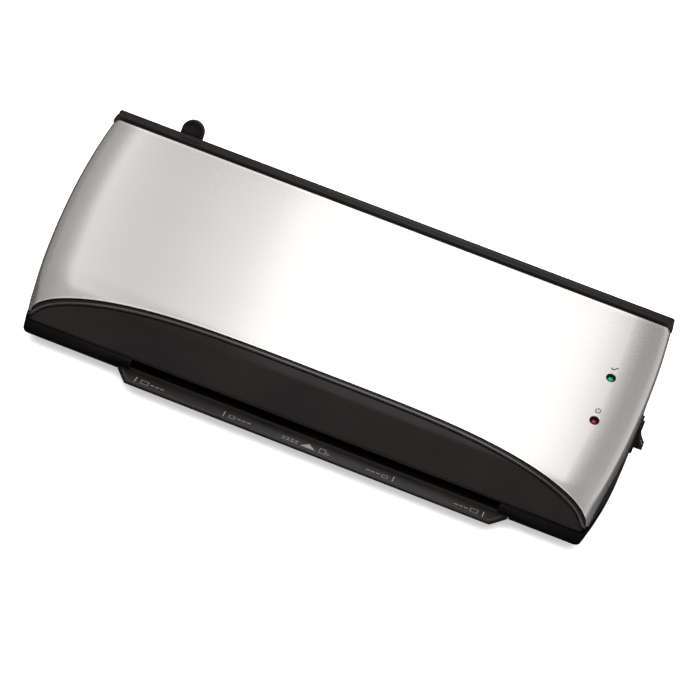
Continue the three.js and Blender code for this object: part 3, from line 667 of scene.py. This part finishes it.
def make_bead(table, inset):
    """Half-round bead that follows the arch, lying in the fascia's channel."""
    curve = bpy.data.curves.new("bead", "CURVE")
    curve.dimensions = "3D"
    curve.bevel_depth = 0.00105
    curve.bevel_resolution = 4
    curve.use_fill_caps = True
    spline = curve.splines.new("POLY")
    tops = [metres(*across(column, top, inset)) for column, _, top in table]
    points = []
    for k, (column, foot, top) in enumerate(table):
        run = (tops[min(k + 1, len(tops) - 1)] - tops[max(k - 1, 0)]).normalized()
        up = (tops[k] - metres(*across(column, top - 1, inset))).normalized()
        lean = max(0.25, math.sqrt(max(0.0, 1 - run.dot(up) ** 2)))
        depth = 3.15 * min(1.0, (top - foot) * lean / 6.0) / lean
        points.append(metres(*across(column, max(top - depth, foot), inset + 0.15)))
    spline.points.add(len(points) - 1)
    for point, place in zip(spline.points, points):
        point.co = (*place, 1)
    drawn = bpy.data.objects.new("bead", curve)
    bpy.context.collection.objects.link(drawn)
    mesh = bpy.data.meshes.new_from_object(drawn.evaluated_get(bpy.context.evaluated_depsgraph_get()))
    bpy.data.objects.remove(drawn)
    bead = bpy.data.objects.new("fascia_bead", mesh)
    bpy.context.collection.objects.link(bead)
    tidy(bead)
    # the bead's paler black is partly a painted highlight
    piece(bead, "housing", BLACK_POLISH_AND_HIGHLIGHT, [], 60)


def make_skirts():
    """Dark strip along each end of the cover, from its rounded edge down to the base."""
    section = [(0.0, -0.4), (0.0, 0.12), (0.012, 0.26), (0.03, 0.32), (0.06, 0.34)]
    section += [(0.06 + 0.9 * i / 10, 0.34) for i in range(1, 11)]
    section += [(0.985, 0.28), (1.0, 0.12), (1.0, -0.4)]
    section = [(SKIRT_TOP + (1 - SKIRT_TOP) * t, out) for t, out in section]
    for side, name in ((-1, "left"), (1, "right")):
        rows = []
        start = find(lambda s: across(("edge", side, 1.0), s)[2] - COVER_Z - 1.2, 4.0, 90.0)
        end = find(lambda s: across(("edge", side, 1.0), s)[1] - COVER_REAR_Y - 0.1, 60.0, PROFILE.total)
        for i in range(61):
            length = start + (end - start) * i / 60
            taper = min(1.0, i / 3)
            row = []
            for t, out in section:
                x, y, z = across(("wall", side, t), length)
                row.append(metres(x + side * (out * taper if out > 0 else out), y, z))
            rows.append(row)
        obj = grid_object(f"end_skirt_{name}", rows, close_u=True, cap=True)
        if side > 0:
            boolean(obj, [switch_cut()])
        piece(obj, "housing", BLACK_TEXTURED, [], 35)


def flip_outward(obj, direction):
    """Turns the faces round if most of them look away from the direction."""
    total = Vector((0, 0, 0))
    for polygon in obj.data.polygons:
        total += polygon.normal * polygon.area
    if total.dot(direction) < 0:
        obj.data.flip_normals()


def plan(inset):
    """The body's outline seen from above, counter-clockwise, inset by that much."""
    radius = ROUND - inset if inset < ROUND else 0.5
    points = []
    front, rear = inset, REAR_Y - inset
    ys = [front + radius + (rear - front - 2 * radius) * i / 24 for i in range(25)]
    for i in range(9):
        angle = -math.pi / 2 + math.pi / 2 * i / 8
        points.append((half_width(front + radius) - inset - radius + radius * math.cos(angle),
                       front + radius + radius * math.sin(angle)))
    points += [(half_width(y) - inset, y) for y in ys[1:-1]]
    for i in range(9):
        angle = math.pi / 2 * i / 8
        points.append((half_width(rear - radius) - inset - radius + radius * math.cos(angle),
                       rear - radius + radius * math.sin(angle)))
    return points + [(-x, y) for x, y in reversed(points)]


def make_base():
    """Tray-shaped base with a rounded lower edge, the feed slot, vents and screw wells."""
    levels = [(1.6, BASE_Z), (0.9, BASE_Z + 0.15), (0.45, BASE_Z + 0.5), (0.15, BASE_Z + 1.1),
              (0.0, BASE_Z + 2.0), (0.0, BASE_TOP_Z)]
    rows = [[metres(x, y, z) for x, y in plan(inset)] for inset, z in levels]
    obj = grid_object("base_shell", rows, close_u=True, cap=True)
    cutters = [
        prism("base_hollow", plan(WALL), BASE_Z + 2.4, 40, "Z"),
        box("front_cut", -177.6, -5, 16.3, 177.6, 6.5, 40),
        box("slot_cut", FEED_X - SLOT_HALF, -6, 10.3, FEED_X + SLOT_HALF, 6, 30),
        box("tray_cut", FEED_X - 124.3, -6, 0, FEED_X + 124.3, 2.9, SLOT_FLOOR_Z + 0.3),
    ]
    for x in (-96, -88, -80, -72, 72, 80, 88, 96):
        cutters.append(prism("vent", rounded(x, 96, x + 3, 120, 1.45), 0, 12, "Z"))
    for x, y in FEET:
        cutters.append(prism("screw_well", circle(x * SCREW_INSET, y, 3.4, 32), 0, BASE_Z + 2.2, "Z"))
    boolean(obj, cutters)
    soften(obj, 0.3, 2, 40)
    return piece(obj, "housing", BLACK_MATTE, ["base_housing"], 32)


def make_tray():
    """Thin lip: rounded front edge, slanted ends, shallow groove along its front."""
    half_at = [(2.6, 124.0), (0.4, 124.0), (-0.6, 123.3), (-10.6, 116.1), (-11.7, 115.0), (-12.3, 113.4)]
    front_y = -12.3
    thickness = 2.4
    bottom = SLOT_FLOOR_Z - thickness
    edge = [(2.6, bottom), (2.6, SLOT_FLOOR_Z), (-10.0, SLOT_FLOOR_Z), (-10.5, SLOT_FLOOR_Z - 0.22),
            (-11.0, SLOT_FLOOR_Z - 0.05)]
    for i in range(9):
        angle = math.pi / 2 - math.pi * i / 8
        edge.append((front_y + 1.15 - 1.15 * math.cos(angle), SLOT_FLOOR_Z - 1.2 + 1.15 * math.sin(angle)))
    edge.append((-9.5, bottom))
    slab = prism("tray_section", edge, -140, 140, "X")
    outline = [(FEED_X + half, y) for y, half in reversed(half_at)]
    outline += [(FEED_X - half, y) for y, half in half_at]
    mask = prism("tray_plan", outline, bottom - 2, SLOT_FLOOR_Z + 2, "Z")
    boolean(slab, [mask], "INTERSECT")
    slab.name = "entry_tray_lip"
    soften(slab, 0.35, 3, 40)
    return piece(slab, "housing", BLACK_SATIN, ["entry_tray"], 30)


def make_rear_cover():
    """Textured rear wall: vents, exit slot under a small hood, lever slot, a lip under the trim."""
    outer = plan(0.0)
    inner = plan(WALL)
    obj = prism("rear_panel", outer, COVER_Z, 91.5, "Z")
    cutters = [
        prism("rear_hollow", inner, 0, 120, "Z"),
        box("front_of_rear", -220, -20, 0, 220, COVER_REAR_Y + 0.3, 120),
    ]
    boolean(obj, cutters)
    lip_outline = [(REAR_Y - 1, 86), (138.6, 88), (138.6, 93.4), (138.3, 94.1), (137.6, 94.1),
                   (137.6, 88.6), (REAR_Y - 1, 88.6)]
    lip = prism("rear_lip", lip_outline, -145, 167, "X")
    roof = EXIT_Z + EXIT_HALF_HEIGHT
    hood = prism("exit_hood", [(REAR_Y - 1, roof), (139, roof), (139, roof + 1.2), (REAR_Y - 1, roof + 4)],
                 FEED_X - SLOT_HALF - 3, FEED_X + SLOT_HALF + 3, "X")
    boolean(obj, [lip, hood], "UNION")
    cutters = [
        box("exit_cut", FEED_X - SLOT_HALF, 120, EXIT_Z - EXIT_HALF_HEIGHT, FEED_X + SLOT_HALF, 150, roof),
        box("lever_cut", LEVER_X - 8.7, 120, 56, LEVER_X + 8.7, 150, 100),
        prism("inlet_cut", circle(INLET_X, INLET_Z, 6.3), 120, 150, "Y"),
    ]
    for i in range(14):
        cutters.append(prism("rear_vent", rounded(-78 + i * 12, 56, -73 + i * 12, 76, 2.3), 120, 150, "Y"))
    boolean(obj, cutters)
    soften(obj, 0.35, 2, 40)
    return piece(obj, "housing", BLACK_TEXTURED, ["rear_cover"], 32)


def make_rear_trim():
    """Strip along the top rear edge: a lip over the cover, a groove and two ridges, with rounded ends."""
    section = [(128.2, 91.0), (128.2, 93.30), (128.35, 93.48), (128.65, 93.42), (128.95, 92.7),
               (129.4, 92.35), (130.7, 92.6), (131.0, 93.6), (131.2, 94.35), (131.6, 94.85),
               (132.1, 94.95), (132.6, 94.7), (133.6, 94.7), (134.8, 94.95), (135.25, 95.2),
               (135.6, 95.75), (136.0, 96.06), (136.5, 96.08), (136.95, 95.8), (137.2, 95.2),
               (137.3, 94.4), (137.3, 92.0), (137.2, 90.2), (136.6, 90.2), (136.6, 90.8)]
    groove_ends = 182.6
    straight = 184.0
    corner = 1.6
    stations = [(straight * (1 - i / 60), 0.0) for i in range(61)]
    turned = []
    for i in range(1, 9):
        angle = math.radians(78) * i / 8
        turned.append((straight + corner * math.sin(angle), corner * (1 - math.cos(angle))))
    stations = list(reversed(turned)) + stations
    stations += [(-x, drop) for x, drop in reversed(stations[:-1])]
    rows = []
    for x, drop in stations:
        closed = min(1.0, max(0.0, (abs(x) - groove_ends) / 0.5))
        row = []
        for y, z in section:
            if 128.7 < y < 131.3 and z > 92:
                z += closed * (93.45 + (y - 128.35) * 0.47 - z)
            row.append(metres(x * half_width(y) / HALF_WIDTH, y, z - drop))
        rows.append(row)
    obj = grid_object("rear_trim_strip", rows, close_u=True, cap=True)
    boolean(obj, [box("trim_lip", -145.3, 137.3, 80, 167.3, 150, 100)])
    return piece(obj, "housing", BLACK_SATIN, ["rear_trim"], 40)


# ---------------------------------------------------------------- fittings

def make_lamps():
    """Domed lenses sunk in the cover's two holes, each in a dark sleeve."""
    turn = led_turn()
    for name, (y, z), material, slot_name in (("ready", LED_READY, GREEN_LENS, "green_lens"),
                                              ("power", LED_POWER, RED_LENS, "red_lens")):
        dome = [(2.9, -7.4), (2.9, -6.4), (2.15, -6.3), (2.15, -3.0)]
        for i in range(1, 8):
            angle = math.pi / 2 * i / 8
            dome.append((2.15 * math.cos(angle), -3.0 + 2.1 * math.sin(angle)))
        dome += [(0.02, -0.9)]
        lamp = lathe(f"{name}_lens", dome, (LED_X, y, z), turn)
        piece(lamp, "housing", material, [f"led_{name}"], 40)
        sleeve = [(2.2, -4.5), (2.98, -4.5), (2.98, -0.35), (2.85, -0.2), (2.65, -0.35), (2.2, -1.6),
                  (2.2, -4.5)]
        ring = lathe(f"{name}_lamp_sleeve", sleeve, (LED_X, y, z), turn)
        piece(ring, "housing", BLACK_SATIN, [], 40)


def cover_height(y):
    """Height of the cover's surface at that distance behind the body's front."""
    length = find(lambda s: PROFILE.at(s)[0] - y, 20, PROFILE.total)
    return PROFILE.at(length)[1]


def add_slab(vertices, faces, low, high):
    """Adds the closed slab between two rings of points."""
    base, count = len(vertices), len(low)
    vertices += low + high
    faces.append(tuple(base + count + i for i in range(count)))
    faces.append(tuple(base + i for i in reversed(range(count))))
    for i in range(count):
        j = (i + 1) % count
        faces.append((base + i, base + j, base + count + j, base + count + i))


def flat_prints(name, shapes, place, turn, material, thickness=0.05):
    """Thin printed shapes: outlines in a plane, turned and moved onto a surface."""
    vertices, faces = [], []
    for outline in shapes:
        low, high = ([metres(*(Vector(place) + turn @ Vector((a, b, height)))) for a, b in outline]
                     for height in (0.0, thickness))
        add_slab(vertices, faces, low, high)
    obj = mesh_object(name, vertices, faces)
    tidy(obj, 1e-7)
    return piece(obj, "housing", material, [], 30)


def stroke(a0, b0, a1, b1, width):
    """Outline of a straight line of that width."""
    dx, dy = a1 - a0, b1 - b0
    size = math.hypot(dx, dy)
    nx, ny = -dy / size * width / 2, dx / size * width / 2
    return [(a0 + nx, b0 + ny), (a0 - nx, b0 - ny), (a1 - nx, b1 - ny), (a1 + nx, b1 + ny)]


def arc_strokes(a, b, radius, start, end, width, steps=16):
    shapes = []
    for i in range(steps):
        t0 = math.radians(start + (end - start) * i / steps)
        t1 = math.radians(start + (end - start) * (i + 1) / steps)
        outer, inner = radius + width / 2, radius - width / 2
        corners = [(outer, t0), (outer, t1), (inner, t1), (inner, t0)]
        shapes.append([(a + r * math.cos(t), b + r * math.sin(t)) for r, t in corners])
    return shapes


def make_prints():
    """Symbols above the lamps, the paper marks on the tray, and a grey line along the tray's front edge and
    slanted ends, a painted highlight of its rounded lip.
    """
    tick = [stroke(-2.0, 0.1, -0.6, -1.2, 0.75), stroke(-0.75, -1.25, 2.2, 1.4, 0.75)]
    power = arc_strokes(0, 0, 1.5, 125, 415, 0.62) + [stroke(0, 0.2, 0, 2.1, 0.62)]
    for name, lamp, shapes in (("ready_symbol", LED_READY, tick), ("power_symbol", LED_POWER, power)):
        y = lamp[0] + 7.2 * math.cos(led_slope())
        flat_prints(name, shapes, (LED_X, y, cover_height(y) + 0.01), led_turn(), INK_DARK)

    top = SLOT_FLOOR_Z + 0.005
    shapes = []
    for side in (-1, 1):
        for offset, height, width in ((110.0, 3.4, 4.6), (53.5, 2.6, 3.4)):
            x = FEED_X + side * offset
            shapes.append(stroke(x, -9.6, x, -4.4, 0.5))
            inner = x - side * 3.4
            shapes += frame_strokes(inner - side * width, -8.8, inner, -8.8 + height, 0.28)
            for k in range(3):
                a = inner - side * (width + 1.6 + 3.1 * k)
                shapes.append(stroke(a, -7.3, a - side * 2.2, -7.3, 0.55))
    shapes.append([(FEED_X - 4.6, -8.9), (FEED_X + 4.6, -8.9), (FEED_X, -4.6)])
    for k in range(4):
        shapes.append(stroke(FEED_X - 16.5 + k * 2.7, -6.4, FEED_X - 14.6 + k * 2.7, -6.4, 0.5))
        shapes.append(stroke(FEED_X - 16.5 + k * 2.7, -8.3, FEED_X - 14.6 + k * 2.7, -8.3, 0.5))
    shapes += frame_strokes(FEED_X + 7.0, -9.0, FEED_X + 10.6, -4.4, 0.3)
    shapes.append(stroke(FEED_X + 10.9, -6.6, FEED_X + 13.4, -7.9, 0.3))
    shapes.append(stroke(FEED_X + 13.4, -7.9, FEED_X + 11.2, -9.0, 0.3))
    flat_prints("tray_marks", shapes, (0, 0, top), Matrix.Identity(3), INK_PALE)
    # painted highlight: grey strokes along the tray's front edge and slanted ends stand in for light on its
    # rounded lip
    left, right = FEED_X - 114.4, FEED_X + 114.4
    lip_highlight_strokes = [stroke(left, -10.35, right, -10.35, 0.3), stroke(left, -10.35, left - 6.0, -2.0, 0.3),
              stroke(right, -10.35, right + 6.0, -2.0, 0.3)]
    flat_prints("tray_lip_highlight", lip_highlight_strokes, (0, 0, top - 0.03), Matrix.Identity(3), LIP_HIGHLIGHT_GREY)


def frame_strokes(a0, b0, a1, b1, width):
    return [stroke(a0, b0, a1, b0, width), stroke(a1, b0, a1, b1, width), stroke(a1, b1, a0, b1, width),
            stroke(a0, b1, a0, b0, width)]


def make_lever():
    """Blade on a hub, ending in a rounded tab with a raised rim on its front face."""
    outline = [(-LEVER_HALF, 2.0), (LEVER_HALF, 2.0)]
    reach = LEVER_LENGTH - LEVER_HALF
    for i in range(33):
        angle = math.pi * i / 32
        outline.append((LEVER_HALF * math.cos(angle), reach + LEVER_HALF * math.sin(angle)))
    turn = Matrix.Rotation(LEVER_ANGLE, 3, "X")
    origin = Vector((LEVER_X, LEVER_AXIS[0], LEVER_AXIS[1]))

    def ring(scale_in, height, low=2.0):
        points = []
        for a, b in outline:
            if b > reach:
                da, db = a, b - reach
                size = math.hypot(da, db)
                a, b = da * (size - scale_in) / size, reach + db * (size - scale_in) / size
            else:
                a = math.copysign(max(0.0, abs(a) - scale_in), a)
                b = max(b, low)
            points.append(metres(*(origin + turn @ Vector((a, b, height)))))
        return points
    rows = [ring(0.9, -1.8), ring(0.35, -1.65), ring(0.0, -1.2), ring(0.0, 1.2), ring(0.25, 1.6),
            ring(0.7, 1.8), ring(1.3, 1.72), ring(1.55, 1.3), ring(1.9, 1.15)]
    obj = grid_object("release_tab", rows, close_u=True, cap=True)
    hub = prism("hub", circle(*LEVER_AXIS, 6.0), LEVER_X - LEVER_HALF, LEVER_X + LEVER_HALF, "X")
    soften(hub, 0.5, 3)
    boolean(obj, [hub], "UNION")
    boolean(obj, [prism("bore", circle(*LEVER_AXIS, 3.05), LEVER_X - 20, LEVER_X + 20, "X")])
    return piece(obj, "release", BLACK_SATIN, ["release_lever"], 32)


def make_switch():
    """Bezel with its body and tabs, and the rocker with its two marks."""
    wall = half_width(SWITCH_Y)

    def frame_outline(along, up, radius):
        return rounded(SWITCH_Y - along, SWITCH_Z - up, SWITCH_Y + along, SWITCH_Z + up, radius)
    rim = prism("switch_bezel", frame_outline(7.5, 10.5, 1.5), wall + 0.1, wall + 1.7, "X")
    soften(rim, 0.55, 4, 60)
    can = box("switch_can", wall - 17, SWITCH_Y - 6.4, SWITCH_Z - 9.4, wall + 1, SWITCH_Y + 6.4,
              SWITCH_Z + 9.4)
    tabs = [box("switch_tab", wall - 23, SWITCH_Y - 2.4, SWITCH_Z + dz - 0.4, wall - 16.5, SWITCH_Y + 2.4,
                SWITCH_Z + dz + 0.4) for dz in (-6, 0, 6)]
    boolean(rim, [can, *tabs], "UNION")
    boolean(rim, [prism("well", frame_outline(5.4, 8.9, 0.6), wall - 8, wall + 10, "X")])
    piece(rim, "housing", BLACK_SATIN, ["power_switch"], 32)

    pivot = (wall + 1.5, SWITCH_Z)
    half = 7.9
    section = []
    for i in range(13):
        t = i / 12
        dip = 0.55 * math.sin(math.pi * t)
        section.append((3.6 + (1.4 - 3.6) * t - dip, -half + half * t))
    section += [(out, -along) for out, along in reversed(section[:-1])]
    section += [(-1.6, half - 1.2), (-4.6, 4.0), (-4.6, -4.0), (-1.6, -half + 1.2)]
    turned = []
    for out, along in section:
        turned.append((pivot[0] + out * math.cos(ROCKER_TILT) + along * math.sin(ROCKER_TILT),
                       pivot[1] - out * math.sin(ROCKER_TILT) + along * math.cos(ROCKER_TILT)))
    rocker = prism("rocker_cap", turned, SWITCH_Y - 5, SWITCH_Y + 5, "Y")
    soften(rocker, 0.45, 3, 28)
    piece(rocker, "rocker", BLACK_GLOSS, ["power_rocker"], 30)

    def on_rocker(out, along, side):
        x = pivot[0] + out * math.cos(ROCKER_TILT) + along * math.sin(ROCKER_TILT)
        z = pivot[1] - out * math.sin(ROCKER_TILT) + along * math.cos(ROCKER_TILT)
        return metres(x, SWITCH_Y + side, z)
    vertices, faces = [], []

    def mark(points):
        low, high = ([on_rocker(out + lift, along, side) for out, along, side in points]
                     for lift in (0.0, 0.05))
        add_slab(vertices, faces, low, high)

    def face_out(along):
        t = 1 - abs(along) / half
        return 3.6 - 2.2 * t - 0.55 * math.sin(math.pi * t) + 0.02
    bar = [(4.1, -0.25), (4.1, 0.25), (6.1, 0.25), (6.1, -0.25)]
    mark([(face_out(along), along, side) for along, side in bar])
    for i in range(16):
        t0, t1 = 2 * math.pi * i / 16, 2 * math.pi * (i + 1) / 16
        ring = []
        for radius, t in ((1.25, t0), (1.25, t1), (0.85, t1), (0.85, t0)):
            along = -5.0 + radius * math.sin(t)
            ring.append((face_out(along), along, radius * math.cos(t)))
        mark(ring)
    marks = mesh_object("rocker_marks", vertices, faces)
    tidy(marks, 1e-7)
    piece(marks, "rocker", INK_PALE, [], 30)


def make_feet():
    """Four rubber feet with a hollow sole, and the cross-head screws beside them."""
    for i, (x, y) in enumerate(FEET):
        outline = [(0.02, 0.6), (3.0, 0.6), (3.4, 0.0), (6.6, 0.0), (7.2, 0.25), (7.5, 0.9), (7.45, 3.0),
                   (7.1, 7.2), (6.9, 7.65), (0.02, 7.7)]
        foot = lathe(f"rubber_foot_{i + 1}", outline, (x, y, 0))
        piece(foot, "housing", RUBBER, [f"foot_{i + 1}"], 32)
        dome = [(0.02, 8.5), (1.4, 8.55), (2.3, 8.8), (2.9, 9.3), (2.9, 9.9), (1.4, 9.9), (1.4, 18.5),
                (0.02, 18.5)]
        screw_x = x * SCREW_INSET
        screw = lathe(f"screw_{i + 1}", dome, (screw_x, y, 0), sides=40)
        cross = [box("cross", screw_x - a, y - b, 8.0, screw_x + a, y + b, 9.3)
                 for a, b in ((1.5, 0.3), (0.3, 1.5))]
        boolean(screw, cross)
        piece(screw, "housing", STEEL, [f"base_screw_{i + 1}"], 32)


def make_inlet():
    """Rubber bush that a cord would pass through."""
    turn = Matrix.Rotation(math.radians(-90), 3, "X")
    outline = [(3.4, -6.8), (5.9, -6.8), (5.9, 0.3), (8.2, 0.35), (8.15, 0.9), (7.6, 1.9), (7.0, 2.1),
               (5.0, 2.1), (4.3, 1.9), (3.6, 1.4), (3.4, 0.8), (3.4, -6.8)]
    ring = lathe("cord_bush", outline, (INLET_X, REAR_Y, INLET_Z), turn)
    piece(ring, "housing", RUBBER, ["cord_inlet"], 32)


# ---------------------------------------------------------------- stage, light and camera

# brightness of the surroundings by the direction's x and z, each from -1 to 1
WORLD_ACROSS = [(-1.0, 0.30), (-0.5, 0.40), (-0.25, 0.80), (0.0, 0.85), (0.08, 0.60), (0.18, 0.22),
                (0.36, 0.85), (1.0, 0.95)]
WORLD_UPWARD = [(-1.0, 0.05), (-0.06, 0.07), (0.10, 0.60), (0.3, 0.82), (0.6, 0.66), (1.0, 0.60)]
CARD_Z = 330.0
# (left, front, right, rear) in millimetres over the machine, and brightness
OVERHEAD_CARDS = [
    ("sky_card", (-262, -340, 190, 260), 0.14),
    ("key_card", (-92, -340, 152, 260), 1.08),
    ("left_strip", (-256, -230, -212, 260), 0.56),
    ("left_middle", (-212, -20, -150, 260), 0.12),
    ("left_shoulder", (-150, -60, -92, 260), 0.34),
]


def make_stage():
    """Pale floor, and a world whose brightness changes with the direction."""
    corners = [(-6, -6), (6, -6), (6, 6), (-6, 6)]
    floor = mesh_object("floor", [(x, y, -0.0001) for x, y in corners], [(0, 1, 2, 3)])
    n = Nodes("studio_floor")
    tone = n.blend(n.spread(n.noise(1.5, 2), 0, 1), (0.93, 0.93, 0.93), (0.95, 0.95, 0.95))
    n.link(tone, n.shader.inputs["Base Color"])
    n.shader.inputs["Roughness"].default_value = 0.9
    n.shader.inputs["Specular IOR Level"].default_value = 0.1
    n.shader.inputs["Emission Color"].default_value = (1, 1, 1, 1)
    n.shader.inputs["Emission Strength"].default_value = 0.5
    floor.data.materials.append(n.material)
    floor.visible_glossy = False

    world = bpy.data.worlds.new("studio")
    bpy.context.scene.world = world
    world.use_nodes = True
    tree = world.node_tree
    background = tree.nodes["Background"]
    coordinates = tree.nodes.new("ShaderNodeTexCoord")
    split = tree.nodes.new("ShaderNodeSeparateXYZ")
    tree.links.new(coordinates.outputs["Generated"], split.inputs["Vector"])
    factors = []
    for axis, stops in (("X", WORLD_ACROSS), ("Z", WORLD_UPWARD)):
        shift = tree.nodes.new("ShaderNodeMapRange")
        shift.inputs["From Min"].default_value = -1.0
        shift.inputs["From Max"].default_value = 1.0
        tree.links.new(split.outputs[axis], shift.inputs["Value"])
        ramp = tree.nodes.new("ShaderNodeValToRGB")
        tree.links.new(shift.outputs["Result"], ramp.inputs["Fac"])
        elements = ramp.color_ramp.elements
        while len(elements) < len(stops):
            elements.new(0.5)
        for element, (place, level) in zip(elements, stops):
            element.position = (place + 1) / 2
            element.color = (level, level, level, 1)
        factors.append(ramp.outputs["Color"])
    product = tree.nodes.new("ShaderNodeMix")
    product.data_type = "RGBA"
    product.blend_type = "MULTIPLY"
    sockets = [i for i in product.inputs if i.type == "RGBA"]
    product.inputs["Factor"].default_value = 1.0
    tree.links.new(factors[0], sockets[0])
    tree.links.new(factors[1], sockets[1])
    tree.links.new([o for o in product.outputs if o.type == "RGBA"][0], background.inputs["Color"])
    background.inputs["Strength"].default_value = 1.0


def card(name, x0, y0, x1, y1, height, radiance):
    """A soft overhead panel over that part of the machine, seen in the cover's reflection."""
    data = bpy.data.lights.new(name, "AREA")
    data.shape = "RECTANGLE"
    data.size = (x1 - x0) / 1000
    data.size_y = (y1 - y0) / 1000
    data.energy = radiance * data.size * data.size_y * math.pi
    obj = bpy.data.objects.new(name, data)
    bpy.context.collection.objects.link(obj)
    obj.location = metres((x0 + x1) / 2, (y0 + y1) / 2, height)
    obj.visible_camera = False
    return obj


def make_lights():
    for i, (name, span, radiance) in enumerate(OVERHEAD_CARDS):
        card(name, *span, CARD_Z + 6 * i, radiance)
    sun = bpy.data.lights.new("fill", "SUN")
    sun.energy = 4.2
    sun.angle = math.radians(80)
    fill = bpy.data.objects.new("fill", sun)
    bpy.context.collection.objects.link(fill)
    fill.rotation_euler = Vector((0.08, 0.15, -1.0)).to_track_quat("-Z", "Y").to_euler()
    fill.visible_glossy = False


def make_camera():
    azimuth, elevation = math.radians(6.64), math.radians(33)
    roll = math.radians(17.39)
    distance = 1.7
    back = Vector((math.sin(azimuth) * math.cos(elevation), -math.cos(azimuth) * math.cos(elevation),
                   math.sin(elevation)))
    right = Vector((math.cos(azimuth), math.sin(azimuth), 0))
    up = back.cross(right)
    rolled_right = right * math.cos(roll) + up * math.sin(roll)
    rolled_up = up * math.cos(roll) - right * math.sin(roll)
    target = metres(0, 65, 45) + rolled_right * 0.00446 - rolled_up * 0.00873
    place = target + back * distance
    data = bpy.data.cameras.new("camera")
    data.lens = 145.1
    data.sensor_width = 36
    data.clip_end = 30
    camera = bpy.data.objects.new("camera", data)
    bpy.context.collection.objects.link(camera)
    matrix = Matrix((rolled_right, rolled_up, back)).transposed().to_4x4()
    matrix.translation = place
    camera.matrix_world = matrix
    bpy.context.scene.camera = camera


# ---------------------------------------------------------------- build

dress_cad_nodes()
make_top_cover()
make_fascia()
make_skirts()
make_base()
make_tray()
make_rear_cover()
make_rear_trim()
make_lamps()
make_prints()
make_lever()
make_switch()
make_feet()
make_inlet()
make_stage()
make_lights()
make_camera()
bpy.context.scene.view_settings.view_transform = "Standard"
